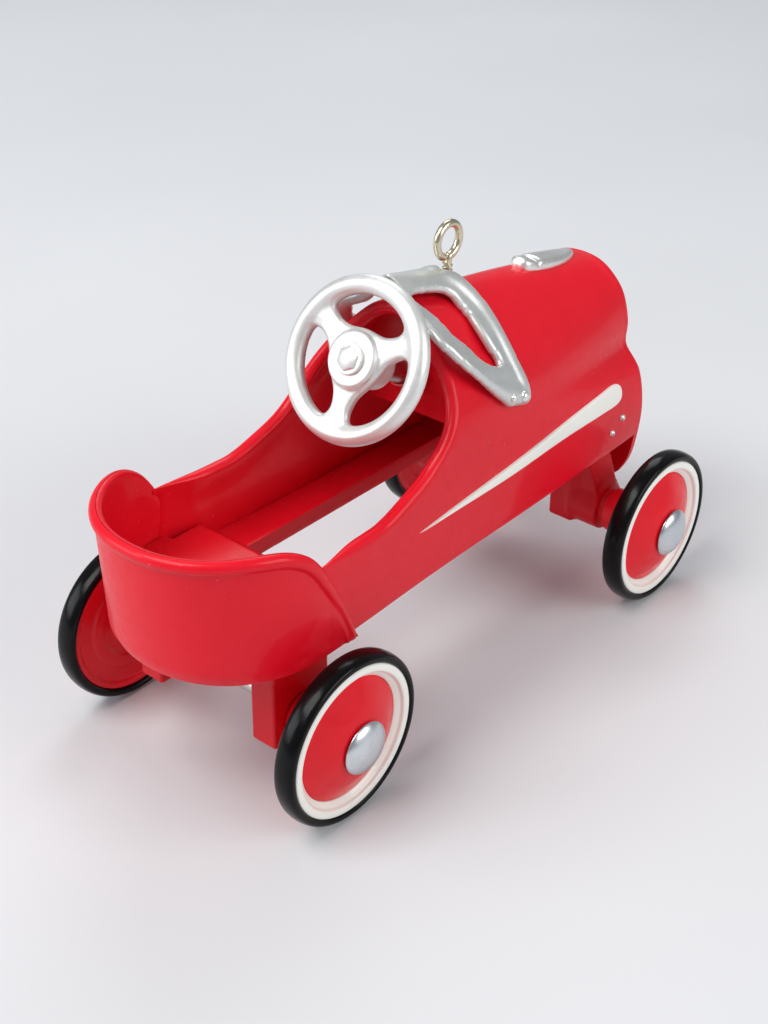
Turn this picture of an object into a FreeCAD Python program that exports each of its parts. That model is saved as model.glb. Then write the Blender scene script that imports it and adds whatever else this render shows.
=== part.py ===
import FreeCAD, Part
import math
import os

# A small open car with a windshield frame, spoked steering wheel and disc wheels.
# X points forward, Y to the car's left, Z up; the ground is Z = 0.  Stations along X
# are written from the rear axle line, and export() centres the car on the origin.
# Lengths are millimetres.  A side is -1 for the right of the car and +1 for the left.

os.makedirs("parts", exist_ok=True)

V = FreeCAD.Vector
RIGHT, LEFT = -1, 1
SIDES = (RIGHT, LEFT)

# ---------------------------------------------------------------------------
# Driving dimensions
# ---------------------------------------------------------------------------
WHEELBASE = 59.87
R_TYRE = 10.5
AXLE_Z = R_TYRE
R_AXLE = 1.0

FLOOR_Z = 18.6           # lower edge of body sides, tub and chassis frame
WALL = 1.2               # body wall
BODY_REAR = 2.6          # rear end of the body side walls
BODY_FRONT = 65.6        # front end of the body shell
NOSE_FRONT = 67.3        # front face of the nose panel

TUB_X = 1.1              # centre of the rounded rear tub
TUB_HALF_LENGTH = 14.2   # in plan, at the bottom
TUB_HALF_WIDTH = 13.75
TUB_TAPER = 0.078        # growth of the half length per mm of height
TUB_EXPONENT = 2.12      # superellipse exponent of the plan
TUB_WALL = 0.9
TUB_TOP = 34.15          # height of the rolled edge at the back
LIP_R = 0.85             # radius of the rolled edge

REAR_MOST = TUB_X - TUB_HALF_LENGTH - TUB_TAPER * (TUB_TOP - FLOOR_Z) - LIP_R + 0.5 * TUB_WALL
FRONT_MOST = WHEELBASE + R_TYRE
X_SHIFT = -0.5 * (REAR_MOST + FRONT_MOST)


# ---------------------------------------------------------------------------
# Helpers
# ---------------------------------------------------------------------------
def export(name, shape):
    out = shape.copy()
    out.translate(V(X_SHIFT, 0, 0))
    out.exportStep("parts/" + name + ".step")


def one(shape):
    """Merge split faces, and unwrap the result when it is a single solid."""
    merged = shape.removeSplitter()
    return merged.Solids[0] if len(merged.Solids) == 1 else merged


def largest(shape):
    return max(shape.Solids, key=lambda solid: solid.Volume)


def spline(points, periodic=False):
    curve = Part.BSplineCurve()
    curve.interpolate(Points=points, PeriodicFlag=periodic)
    return curve.toShape()


def closed_polygon(points):
    return Part.makePolygon(points + [points[0]])


def box(x0, x1, y0, y1, z0, z1):
    return Part.makeBox(x1 - x0, y1 - y0, z1 - z0, V(x0, y0, z0))


def upright(radius, height, x, y, z):
    """Vertical cylinder standing on (x, y, z)."""
    return Part.makeCylinder(radius, height, V(x, y, z), V(0, 0, 1))


def axle_rod(x, half_length):
    """Cylinder of the axle's radius, right across the car."""
    return Part.makeCylinder(R_AXLE, 2 * half_length, V(x, -half_length, AXLE_Z), V(0, 1, 0))


def prism_y(points, y0, y1):
    """Side view outline of (x, z) points, extruded from y0 to y1."""
    wire = closed_polygon([V(x, y0, z) for x, z in points])
    return Part.Face(wire).extrude(V(0, y1 - y0, 0))


def revolve_y(profile, x, y, z, side):
    """Turn (radius, distance outward of y) points about a crosswise axis through x, z."""
    wire = closed_polygon([V(x + radius, side * (y + out), z) for radius, out in profile])
    return Part.Face(wire).revolve(V(x, 0, z), V(0, 1, 0), 360)


def wall_stud(wall, x, z, radius, height, side):
    """Domed pin standing out of a side wall, with its shank let into the wall."""
    shank = 0.5
    probe = Part.makeLine(V(x, side * 20, z), V(x, side * 5, z)).common(wall)
    # the default stands in where the probe misses the wall
    y = max((abs(vertex.Y) for vertex in probe.Vertexes), default=12.6)
    profile = [(0.0, -shank), (radius, -shank), (radius, 0.25 * height),
               (0.86 * radius, 0.62 * height), (0.52 * radius, 0.9 * height), (0.0, height)]
    return revolve_y(profile, x, y, z, side)


# ---------------------------------------------------------------------------
# Body: half sections (half width, height) from the lower edge over the shoulder
# to the crown
# ---------------------------------------------------------------------------
S_COWL = [
    (12, 18.6), (12.06, 21.6), (12.08, 24.59), (12.09, 27.66), (12.08, 30.5),
    (12.04, 32.93), (11.9, 35.16), (11.28, 37.49), (10.21, 39.6), (8.69, 41.69),
    (6.72, 43.79), (4.51, 45.94), (2.24, 47.36), (0, 47.93)]
S_38 = [
    (11.89, 18.6), (11.97, 21.6), (12, 24.61), (11.98, 27.5), (11.87, 30.04),
    (11.66, 32.1), (11.32, 34.05), (10.75, 36.14), (9.7, 38.26), (8.09, 40.32),
    (6.2, 42.42), (4.17, 44.57), (2.13, 46.09), (0, 46.73)]
S_48 = [
    (11.71, 18.6), (11.84, 21.6), (11.85, 24.58), (11.74, 27.27), (11.47, 29.57),
    (11.02, 31.35), (10.46, 33.06), (10.02, 35.08), (9.11, 37.29), (7.61, 39.35),
    (5.86, 41.34), (3.96, 43.31), (2.05, 44.7), (0, 45.28)]
S_57 = [
    (11.49, 18.6), (11.68, 21.6), (11.65, 24.51), (11.42, 27.01), (10.95, 29.09),
    (10.21, 30.66), (9.41, 32.2), (9.16, 34.26), (8.47, 36.62), (7.22, 38.72),
    (5.68, 40.49), (3.85, 42.17), (2.01, 43.25), (0, 43.67)]
S_NOSE = [
    (11.2, 18.6), (11.5, 21.6), (11.4, 24.4), (10.99, 26.69), (10.28, 28.57),
    (9.17, 29.96), (8.1, 31.35), (8.11, 33.58), (7.72, 36.2), (6.88, 38.43),
    (5.6, 40.03), (3.81, 41.41), (1.99, 42.1), (0.0, 42.3)]


def widened(section, extra):
    """Move the lower side out by extra, blended away toward the crown."""
    return [(y + extra * min(1.0, max(0.0, y / 12.0)), z) for y, z in section]


# (x, half section); the outside is drawn in a little at the rear, so that the
# walls slip inside the tub
FORWARD_STATIONS = [(27.0, S_COWL), (38.0, S_38), (48.0, S_48), (57.0, S_57), (66.0, S_NOSE)]
INNER_STATIONS = [(0.0, widened(S_COWL, 0.67)), (8.0, widened(S_COWL, 0.63)),
                  (17.0, widened(S_COWL, 0.27))] + FORWARD_STATIONS
OUTER_STATIONS = [(0.0, widened(S_COWL, 0.55)), (8.0, widened(S_COWL, 0.53)),
                  (17.0, widened(S_COWL, 0.25))] + FORWARD_STATIONS

# side view (x, z) of the cockpit edge, from the tub forward and up the cowl
COCKPIT_EDGE = [(12.0, 29.8), (14.0, 30.25), (16.0, 30.9), (18.0, 31.6), (20.0, 32.45),
                (22.0, 33.8), (24.0, 35.7), (25.6, 37.9), (26.7, 40.3), (27.4, 42.9),
                (27.8, 45.5), (28.0, 49.0)]


def offset_section(section, distance):
    """Move a half section outward along its normals; the ends keep their line."""
    last = len(section) - 1
    out = []
    for i, (y, z) in enumerate(section):
        y0, z0 = section[max(i - 1, 0)]
        y1, z1 = section[min(i + 1, last)]
        length = math.hypot(y1 - y0, z1 - z0)
        normal_y, normal_z = (z1 - z0) / length, -(y1 - y0) / length
        if i == 0:
            normal_y, normal_z = 1.0, 0.0
        elif i == last:
            normal_y, normal_z = 0.0, 1.0
        out.append((y + distance * normal_y, z + distance * normal_z))
    return out


def mirrored_outline(x, half):
    """Closed outline from a half section: a spline over the top, a line below."""
    points = [V(x, -y, z) for y, z in half] + [V(x, y, z) for y, z in reversed(half[:-1])]
    return points


def spline_wire(points):
    return Part.Wire([spline(points), Part.makeLine(points[-1], points[0])])


def body_loft(stations, offset, drop=0.0):
    """Full body at an offset; drop carries its lower edge down by that much."""
    wires = []
    for x, section in stations:
        half = offset_section(section, offset)
        if drop:
            y, z = half[0]
            half = [(y, z - drop)] + half
        wires.append(spline_wire(mirrored_outline(x, half)))
    return Part.makeLoft(wires, True, False)


def make_cockpit_cutter():
    y, rear, top = -40, -30, 70
    edge = [V(x, y, z) for x, z in COCKPIT_EDGE]
    rear_low = V(rear, y, edge[0].z)
    rear_top = V(rear, y, top)
    front_top = V(edge[-1].x, y, top)
    wire = Part.Wire([Part.makeLine(rear_low, edge[0]), spline(edge),
                      Part.makeLine(edge[-1], front_top), Part.makeLine(front_top, rear_top),
                      Part.makeLine(rear_top, rear_low)])
    return Part.Face(wire).extrude(V(0, -2 * y, 0))


body_filled = body_loft(OUTER_STATIONS, 0.0)
body_room = body_loft(INNER_STATIONS, -WALL, 2.0)
body_wall = body_filled.cut(body_room).common(box(BODY_REAR, BODY_FRONT, -40, 40, 0, 80))


def make_body_shell():
    rebate_y = 12.36
    shell = body_wall.cut(make_cockpit_cutter())
    # a shallow rebate outside each side wall, where it slips inside the tub
    for y0, y1 in ((rebate_y, 20), (-20, -rebate_y)):
        shell = shell.cut(box(1.5, 6.9, y0, y1, 10, 40))
    return one(shell)


# ---------------------------------------------------------------------------
# Nose panel: closes the front, hangs lower than the sides, rounded front edge
# ---------------------------------------------------------------------------
NOSE_LOWER = [(7.9, 11.8), (9.2, 12.75), (10.1, 14.1), (10.75, 16.0)]  # (half width, z), upward
NOSE_ROUND_X = 66.3      # where the rounding of the front edge starts


def nose_outline(x, inset):
    lower = [(y - inset, z + (inset if i == 0 else 0.35 * inset))
             for i, (y, z) in enumerate(NOSE_LOWER)]
    return spline_wire(mirrored_outline(x, lower + offset_section(S_NOSE, -inset)))


def nose_loft(stations):
    return Part.makeLoft([nose_outline(x, inset) for x, inset in stations], True, True)


def make_nose_panel():
    nose = nose_loft([(BODY_FRONT, 0.0), (NOSE_ROUND_X, 0.0)])
    return one(nose.fuse(nose_loft([(NOSE_ROUND_X, 0.0), (66.95, 0.28), (NOSE_FRONT, 0.95)])))


# ---------------------------------------------------------------------------
# Rear tub
# ---------------------------------------------------------------------------
# side view (x, z) of the top of the rolled edge, from the back forward and down
TUB_EDGE = [(-17.0, TUB_TOP), (-12.0, 34.13), (-8.0, 34.05), (-5.4, 33.82), (-3.5, 33.28),
            (-1.8, 32.28), (0.0, 30.65), (1.6, 28.8), (3.1, 26.5), (4.5, 23.8), (5.6, 21.1),
            (6.6, 18.3)]
TUB_SIDE_STATIONS = (6.2, 5.2, 4.1, 3.0, 2.0)    # x along the straight sides
TUB_PLAN_STEPS = 36      # wall sections round the back


def tub_half_length(z):
    return TUB_HALF_LENGTH + TUB_TAPER * (z - FLOOR_Z)


def plan_direction(i, steps):
    """Unit superellipse from left (i = 0) over the back to right: (rearward, leftward)."""
    angle = math.pi * i / steps
    power = 2 / TUB_EXPONENT
    cosine = math.cos(angle)
    return abs(math.sin(angle)) ** power, abs(cosine) ** power * (1 if cosine > 0 else -1)


def tub_room_plan(z):
    inset, x_front, steps = TUB_WALL + 0.04, 9.5, 28
    half_length = tub_half_length(z) - inset
    half_width = TUB_HALF_WIDTH - inset
    points = []
    for i in range(steps + 1):
        back, across = plan_direction(i, steps)
        points.append(V(TUB_X - half_length * back, half_width * across, z))
    left, right = V(x_front, half_width, z), V(x_front, -half_width, z)
    return Part.Wire([Part.makeLine(left, points[0]), spline(points),
                      Part.makeLine(points[-1], right), Part.makeLine(right, left)])


tub_room = Part.makeLoft([tub_room_plan(FLOOR_Z - 1), tub_room_plan(41)], True, True)


def edge_height(x):
    if x <= TUB_EDGE[0][0]:
        return TUB_EDGE[0][1]
    for (x0, z0), (x1, z1) in zip(TUB_EDGE, TUB_EDGE[1:]):
        if x0 <= x <= x1:
            return z0 + (z1 - z0) * (x - x0) / (x1 - x0)
    return TUB_EDGE[-1][1]


def rolled_edge(x):
    """Centre height of the rolled edge at x, its radius across the wall and its
    upright radius.  It gets thinner going forward, and taller where the edge slopes."""
    slope = (edge_height(x + 0.3) - edge_height(x - 0.3)) / 0.6
    stretch = min(math.hypot(1.0, slope), 2.2)
    fade = min(1.0, max(0.0, (x + 0.5) / 2.8))
    fade = fade * fade * (3 - 2 * fade)
    r_across = LIP_R + (0.46 - LIP_R) * fade
    r_up = r_across * stretch
    return edge_height(x) - fade * r_up, r_across, r_up


def tub_section(x_base, back, across, z_edge, r_across, r_up):
    """Closed wall section: bottom, outside, rolled edge, inside."""
    unit = math.hypot(back, across)
    half_wall = 0.5 * TUB_WALL * unit
    r_across = max(r_across, 1.03 * half_wall)

    def at(outward, z):
        inset = 0.5 * TUB_WALL - outward / unit
        return V(x_base - (tub_half_length(z) - inset) * back,
                 (TUB_HALF_WIDTH - inset) * across, z)

    sweep = math.pi - math.asin(half_wall / r_across)
    roll = []
    for k in range(13):
        angle = sweep * (1.0 - 2.0 * k / 12)
        roll.append(at(r_across * math.sin(angle), z_edge + r_up * math.cos(angle)))
    outer_foot, inner_foot = at(half_wall, FLOOR_Z), at(-half_wall, FLOOR_Z)
    return Part.Wire([Part.makeLine(inner_foot, outer_foot), Part.makeLine(outer_foot, roll[0]),
                      spline(roll), Part.makeLine(roll[-1], inner_foot)])


def tub_side_section(x, side):
    z_edge, r_across, r_up = rolled_edge(x)
    return tub_section(x, 0.0, side, max(z_edge, FLOOR_Z + 0.12), r_across, r_up)


def tub_back_section(i):
    back, across = plan_direction(i, TUB_PLAN_STEPS)
    # the wall leans with height, so settle the station and its edge height together
    z = 34.0
    for _ in range(6):
        x = TUB_X - (tub_half_length(z) - 0.5 * TUB_WALL) * back
        z = edge_height(x)
    return tub_section(TUB_X, back, across, *rolled_edge(x))


def make_rear_tub():
    """One loft from the left front corner over the back to the right front corner."""
    wires = [tub_side_section(x, LEFT) for x in TUB_SIDE_STATIONS]
    wires += [tub_back_section(i) for i in range(TUB_PLAN_STEPS + 1)]
    wires += [tub_side_section(x, RIGHT) for x in reversed(TUB_SIDE_STATIONS)]
    return one(Part.makeLoft(wires, True, False))


# ---------------------------------------------------------------------------
# Seat pan and chassis frame
# ---------------------------------------------------------------------------
SEAT_BOTTOM, SEAT_TOP = 22.0, 23.0
REAR_PLATE_TOP = 20.6
RAIL_TOP = 20.9
RAIL_INNER_Y = 6.2
R_SCREW = 0.6
REAR_SCREWS = [(-1.0, 4.3), (-1.0, -4.3)]        # (x, y)
FRONT_SCREWS = [(60.0, 2.2), (60.0, -2.2)]

# full width behind the body walls, narrower between them
floor_space = box(-30, BODY_FRONT, -11.6, 11.6, 0, 60).fuse(box(-30, BODY_REAR, -30, 30, 0, 60))


def drilled(shape, screws, z, depth):
    for x, y in screws:
        shape = shape.cut(upright(R_SCREW, depth, x, y, z))
    return shape


def make_seat_pan():
    outline = [(-20, SEAT_BOTTOM), (6.2, SEAT_BOTTOM), (8.3, 20.6), (8.9, 21.1),
               (6.6, SEAT_TOP), (-20, SEAT_TOP)]
    seat = prism_y(outline, -30, 30).common(tub_room).cut(body_wall)
    return one(seat.common(floor_space))


def make_chassis_frame(seat_pan):
    plate = box(-20, 9.0, -30, 30, FLOOR_Z, REAR_PLATE_TOP).common(tub_room)
    plate = plate.fuse(box(8.0, BODY_FRONT, -12.5, 12.5, FLOOR_Z, RAIL_TOP).common(body_room))
    # opening between the side rails
    plate = plate.cut(box(9.0, 55.5, -RAIL_INNER_Y, RAIL_INNER_Y, 10, 30))
    plate = plate.cut(body_wall).cut(seat_pan)
    plate = plate.common(floor_space)
    return one(drilled(plate, REAR_SCREWS + FRONT_SCREWS, 17.9, 3.4))


# ---------------------------------------------------------------------------
# Axle carriers: a bridge plate under the frame with two legs each
# ---------------------------------------------------------------------------
BRIDGE_Z = 17.4          # underside of the bridge plates
REAR_LEG_Y = (7.3, 11.0)     # inner and outer faces of a leg
REAR_LEG_HALF = 4.45     # half length along X
FRONT_LEG_Y = (4.0, 7.8)
FRONT_LEG_HALF = 2.9
HOUSING_END_Y = 11.7     # outer end of the round housing of the front axle


def bridge(x, half_length, half_width):
    return box(x - half_length, x + half_length, -half_width, half_width, BRIDGE_Z, FLOOR_Z)


def leg(x, half_length, faces, bottom, side):
    """Block under the bridge with its bottom edges rounded."""
    y0, y1 = sorted(side * y for y in faces)
    block = box(x - half_length, x + half_length, y0, y1, bottom, BRIDGE_Z)
    edges = [edge for edge in block.Edges
             if all(abs(edge.Vertexes[k].Z - bottom) < 1e-6 for k in (0, 1))]
    return block.makeFillet(0.35, edges)


def make_rear_axle_carrier():
    carrier = bridge(0, REAR_LEG_HALF, REAR_LEG_Y[1])
    for side in SIDES:
        carrier = carrier.fuse(leg(0, REAR_LEG_HALF, REAR_LEG_Y, 7.6, side))
    carrier = carrier.cut(axle_rod(0, 20))
    return one(drilled(carrier, REAR_SCREWS, 16.5, 3.0))


def make_front_axle_carrier():
    leg_y = FRONT_LEG_Y[1]
    shoulder_half = 2.4
    shoulder_outline = [(leg_y, 12.0), (11.2, 12.0), (11.2, 13.4), (9.3, FLOOR_Z),
                        (leg_y, FLOOR_Z)]    # (distance from the middle, z)
    carrier = bridge(WHEELBASE, 3.6, leg_y)
    for side in SIDES:
        outward = V(0, side, 0)
        housing = Part.makeCylinder(3.25, HOUSING_END_Y - leg_y,
                                    V(WHEELBASE, side * leg_y, AXLE_Z), outward)
        shoulder = Part.Face(closed_polygon([V(WHEELBASE - shoulder_half, side * y, z)
                                             for y, z in shoulder_outline]))
        collar = Part.makeCylinder(2.55, 12.55 - HOUSING_END_Y,
                                   V(WHEELBASE, side * HOUSING_END_Y, AXLE_Z), outward)
        carrier = carrier.fuse(leg(WHEELBASE, FRONT_LEG_HALF, FRONT_LEG_Y, 7.7, side))
        carrier = carrier.fuse(housing)
        carrier = carrier.fuse(shoulder.extrude(V(2 * shoulder_half, 0, 0)))
        carrier = carrier.fuse(collar)
    carrier = carrier.cut(axle_rod(WHEELBASE, 22))
    return one(drilled(carrier, FRONT_SCREWS, 16.5, 3.0))


def make_frame_screws():
    """Slotted screws driven up through the bridge plates."""
    head_height, slot_half_length, slot_half_width = 0.7, 0.9, 0.15
    screws = []
    for x, y in REAR_SCREWS + FRONT_SCREWS:
        head = upright(1.15, head_height, x, y, BRIDGE_Z - head_height)
        head = head.cut(box(x - slot_half_length, x + slot_half_length,
                            y - slot_half_width, y + slot_half_width, 16.5, 16.95))
        shank = upright(R_SCREW, 3.1, x, y, BRIDGE_Z)
        screws.append(head.fuse(shank).removeSplitter().Solids[0])
    return Part.makeCompound(screws)


# ---------------------------------------------------------------------------
# Wheels.  Profiles are (radius, distance outward of the wheel's centre plane).
# ---------------------------------------------------------------------------
# name, axle x, centre plane y, y of the inner end of the hub boss
AXLES = [("rear", 0.0, 17.57, 11.08), ("front", WHEELBASE, 18.97, 12.63)]
TYRE_HALF = 1.38         # half width of a tyre
R_FLANGE = 9.30          # outer edge of the wheel disc
R_RING_OUT = 9.35        # white ring, outside
R_DISC = 7.60            # visible disc, and the inside of the white ring
RING_BACK = -0.2         # rear face of the white ring
R_HUB_BORE = R_AXLE + 0.05   # running clearance on the axle
R_BOSS = 3.0
HUB_OUT = 2.75           # outer face of the disc at the axle
R_CAP = 3.2
CAP_BASE = HUB_OUT + 0.06    # the cap stands clear of the disc
CAP_SOCKET_END = CAP_BASE + 0.50     # end of the axle inside the cap

TYRE_PROFILE = [
    (R_FLANGE, -1.10), (9.62, -1.34), (9.95, -TYRE_HALF), (10.24, -1.18), (10.42, -0.78),
    (R_TYRE, -0.30), (R_TYRE, 0.30), (10.42, 0.78), (10.24, 1.18), (9.95, TYRE_HALF),
    (9.62, 1.34), (R_RING_OUT, 1.16), (R_RING_OUT, RING_BACK), (R_FLANGE, RING_BACK)]
RING_PROFILE = [
    (R_DISC, 0.42), (7.72, 0.62), (8.25, 1.12), (8.65, 1.28), (9.15, 1.24),
    (R_RING_OUT, 1.10), (R_RING_OUT, RING_BACK), (R_DISC, RING_BACK)]
DISC_PROFILE = [
    (R_HUB_BORE, HUB_OUT), (2.2, 2.66), (3.4, 2.35), (4.6, 1.86), (5.8, 1.26), (6.9, 0.68),
    (R_DISC, 0.36), (R_DISC, RING_BACK), (R_FLANGE, RING_BACK), (R_FLANGE, -1.03),
    (8.75, -1.03), (8.35, -0.62), (6.6, -0.62), (6.3, -0.9), (5.0, -0.9), (4.6, -0.55),
    (R_BOSS + 0.3, -0.55), (R_BOSS, -0.9)]
CAP_PROFILE = [
    (0, CAP_BASE + 1.10), (1.0, CAP_BASE + 1.04), (1.9, CAP_BASE + 0.84),
    (2.6, CAP_BASE + 0.52), (3.0, CAP_BASE + 0.22), (R_CAP, CAP_BASE),
    (R_CAP, CAP_BASE - 0.10), (2.95, CAP_BASE - 0.10), (2.8, CAP_BASE),
    (R_AXLE, CAP_BASE), (R_AXLE, CAP_SOCKET_END), (0, CAP_SOCKET_END)]


def export_wheels():
    for axle, x, y, boss_y in AXLES:
        boss_end = boss_y - y
        boss = [(R_BOSS, boss_end + 0.2), (R_BOSS - 0.2, boss_end), (R_HUB_BORE, boss_end)]
        profiles = {"tyre": TYRE_PROFILE, "white_ring": RING_PROFILE,
                    "wheel_disc": DISC_PROFILE + boss, "hub_cap": CAP_PROFILE}
        export(axle + "_axle_rod", axle_rod(x, y + CAP_SOCKET_END))
        for side, side_name in ((RIGHT, "right"), (LEFT, "left")):
            for part, profile in profiles.items():
                export(f"{part}_{axle}_{side_name}", revolve_y(profile, x, y, AXLE_Z, side))


# ---------------------------------------------------------------------------
# Steering.  Parts are built in a local frame on the rim's centre: x to the car's
# left, y up the rim, z along the column toward the driver.  That frame is left
# handed, so the parts are mirrored on the way; they are alike left and right.
# ---------------------------------------------------------------------------
RIM_CENTRE = V(21.44, 0, 42.80)
COLUMN_TILT = math.radians(28.28)    # column angle from the horizontal
R_RIM_TUBE = 1.14
R_RIM = 9.92 - R_RIM_TUBE    # outside radius less the tube, to the tube's centre
R_COLUMN = 1.5
COLUMN_PLAY = 0.05
COLUMN_TOP = 1.0         # local z of the ends of the column
COLUMN_BOTTOM = -15.4
HUB_TOP = 1.3
TILT_SIN, TILT_COS = math.sin(COLUMN_TILT), math.cos(COLUMN_TILT)
TO_CAR = FreeCAD.Matrix(0, TILT_SIN, -TILT_COS, RIM_CENTRE.x,
                        1, 0, 0, RIM_CENTRE.y,
                        0, TILT_COS, TILT_SIN, RIM_CENTRE.z,
                        0, 0, 0, 1)
# opening between two spokes: (radius, degrees from its middle)
SPOKE_OPENING = [
    (7.75, -36), (7.85, -20), (7.85, 0), (7.85, 20), (7.75, 36), (7.3, 45.0), (6.4, 47.5),
    (5.4, 45.0), (4.55, 38.5), (3.95, 25.0), (3.75, 0), (3.95, -25), (4.55, -38.5),
    (5.4, -45.0), (6.4, -47.5), (7.3, -45.0)]


def in_car(shape):
    out = shape.copy()
    out.transformShape(TO_CAR)
    return out


def on_axis(radius, length, z):
    """Local cylinder on the column axis, from z toward the driver."""
    return upright(radius, length, 0, 0, z)


def spoke_opening(middle):
    points = []
    for radius, degrees in SPOKE_OPENING:
        angle = math.radians(middle + degrees)
        points.append(V(radius * math.cos(angle), radius * math.sin(angle), -3))
    return Part.Face(Part.Wire([spline(points, periodic=True)])).extrude(V(0, 0, 6))


def make_steering_wheel():
    rim = Part.makeTorus(R_RIM, R_RIM_TUBE)
    web = on_axis(R_RIM - 0.25, 1.5, -1.05)
    for middle in (90, 210, 330):
        web = web.cut(spoke_opening(middle))
    hub = on_axis(3.35, 1.0, HUB_TOP - 1.0)
    top_edges = [edge for edge in hub.Edges
                 if len(edge.Vertexes) == 1 and abs(edge.Vertexes[0].Z - HUB_TOP) < 1e-6]
    hub = hub.makeChamfer(0.45, top_edges)
    socket = on_axis(2.7, 2.4, -3.3)
    wheel = rim.fuse(web).fuse(hub).fuse(socket)
    return in_car(one(wheel.cut(on_axis(R_COLUMN, COLUMN_TOP + 3.4, -3.4))))


def make_steering_nut():
    """Hexagon on a round washer, on top of the hub."""
    washer_height, r_hexagon = 0.35, 1.45
    washer = on_axis(1.95, washer_height, HUB_TOP)
    corners = []
    for i in range(6):
        angle = math.radians(60 * i + 30)
        corners.append(V(r_hexagon * math.cos(angle), r_hexagon * math.sin(angle),
                         HUB_TOP + washer_height))
    hexagon = Part.Face(closed_polygon(corners)).extrude(V(0, 0, 0.55))
    return in_car(one(washer.fuse(hexagon)))


def make_steering_column():
    return in_car(on_axis(R_COLUMN, COLUMN_TOP - COLUMN_BOTTOM, COLUMN_BOTTOM))


def make_column_clip():
    return in_car(on_axis(2.3, 0.5, -15.1).cut(on_axis(R_COLUMN, 2, -16)))


def make_dash_and_bush():
    """Panel under the cowl, and the bush in it that the column runs through."""
    dash = body_room.common(box(32.4, 33.6, -20, 20, 31.8, 60))
    boss = in_car(on_axis(2.0, 5.4, -14.4))
    bore = in_car(on_axis(R_COLUMN + COLUMN_PLAY, 30, -25))
    clearance = in_car(on_axis(2.6, 8.0, -22.4))
    return one(dash.cut(boss).cut(clearance)), boss.cut(bore)


# ---------------------------------------------------------------------------
# Windshield frame: ribs from the front rail (on the hood) to the free rear rail.
# Rail points are (x, distance from the middle, z), from the middle down to the tip.
# ---------------------------------------------------------------------------
FRONT_RAIL = [
    (36.7, 0, 49.7), (37.86, 1.7, 49.23), (39.25, 3.4, 47.23), (39.62, 5.4, 45.06),
    (39.54, 7.6, 42.79), (39.55, 9.6, 40.15), (39.7, 11.2, 37.75), (39.3, 12.25, 36.2),
    (38.5, 12.75, 34.85)]
REAR_RAIL = [
    (25.69, 0, 52.32), (26.34, 1.75, 51.22), (27.1, 3.4, 49.73), (26.91, 5.6, 48.09),
    (26.38, 8.6, 46.82), (27.58, 10.6, 44.62), (29.49, 11.8, 42.24), (31.99, 12.5, 39.09),
    (35.15, 12.8, 35.73)]
FRONT_THICKNESS, REAR_THICKNESS = 2.6, 1.2
# window outline: (rib number, fraction from the front rail to the rear rail)
WINDOW = [
    (1.72, 0.851), (1.7, 0.749), (1.73, 0.664), (1.84, 0.494), (2.21, 0.379), (2.7, 0.363),
    (3.24, 0.333), (3.99, 0.338), (4.65, 0.338), (5.25, 0.336), (5.45, 0.417),
    (5.38, 0.534), (4.45, 0.688), (3.9, 0.755), (2.83, 0.802)]
TIP_RIVETS = [(37.5, 36.2, 0.7), (35.2, 36.9, 0.5)]     # (x, z, radius), on each side


def rail_point(rail, i, side):
    x, y, z = rail[i]
    return V(x, side * y, z)


def rib_wire(i, side):
    front, rear = rail_point(FRONT_RAIL, i, side), rail_point(REAR_RAIL, i, side)
    if i == 0:
        normal = V(0, 0, 1)
    else:
        before, after = [(rail_point(FRONT_RAIL, k, side) + rail_point(REAR_RAIL, k, side)) * 0.5
                         for k in (i - 1, min(i + 1, len(FRONT_RAIL) - 1))]
        normal = (after - before).cross(rear - front)
        if normal.dot(V(0, side, 1)) < 0:
            normal = normal * -1
        normal.normalize()
    return closed_polygon([front, rear, rear - normal * REAR_THICKNESS,
                           front - normal * FRONT_THICKNESS])


def windshield_point(rib, fraction, side):
    i = min(int(rib), len(FRONT_RAIL) - 2)
    k = rib - i
    front, rear = [rail_point(rail, i, side) * (1 - k) + rail_point(rail, i + 1, side) * k
                   for rail in (FRONT_RAIL, REAR_RAIL)]
    return front * (1 - fraction) + rear * fraction


def window_cutter(side):
    """Window outline carried to a plane inside the frame, then extruded outward."""
    direction = V(-0.25, side * 0.80, 0.55).normalize()
    middle = V(33, side * 8, 46)
    reach = 6.0
    points = []
    for rib, fraction in WINDOW:
        point = windshield_point(rib, fraction, side)
        points.append(point - direction * ((point - middle).dot(direction) + reach))
    face = Part.Face(Part.Wire([spline(points, periodic=True)]))
    return face.extrude(direction * (2 * reach))


def make_windshield():
    """The frame, and the rivets at its tips."""
    count = len(FRONT_RAIL)
    wires = [rib_wire(i, RIGHT) for i in range(count - 1, 0, -1)]
    wires += [rib_wire(i, LEFT) for i in range(count)]
    frame = Part.makeLoft(wires, True, False)
    rim_clearance = in_car(Part.makeTorus(R_RIM, R_RIM_TUBE + 0.28))
    frame = frame.cut(window_cutter(RIGHT)).cut(window_cutter(LEFT))
    frame = largest(frame.cut(body_filled).cut(rim_clearance))
    rivets = [wall_stud(frame, x, z, radius, 0.8 * radius, side)
              for side in SIDES for x, z, radius in TIP_RIVETS]
    for rivet in rivets:
        frame = frame.cut(rivet)
    return largest(frame), Part.makeCompound(rivets)


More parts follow.
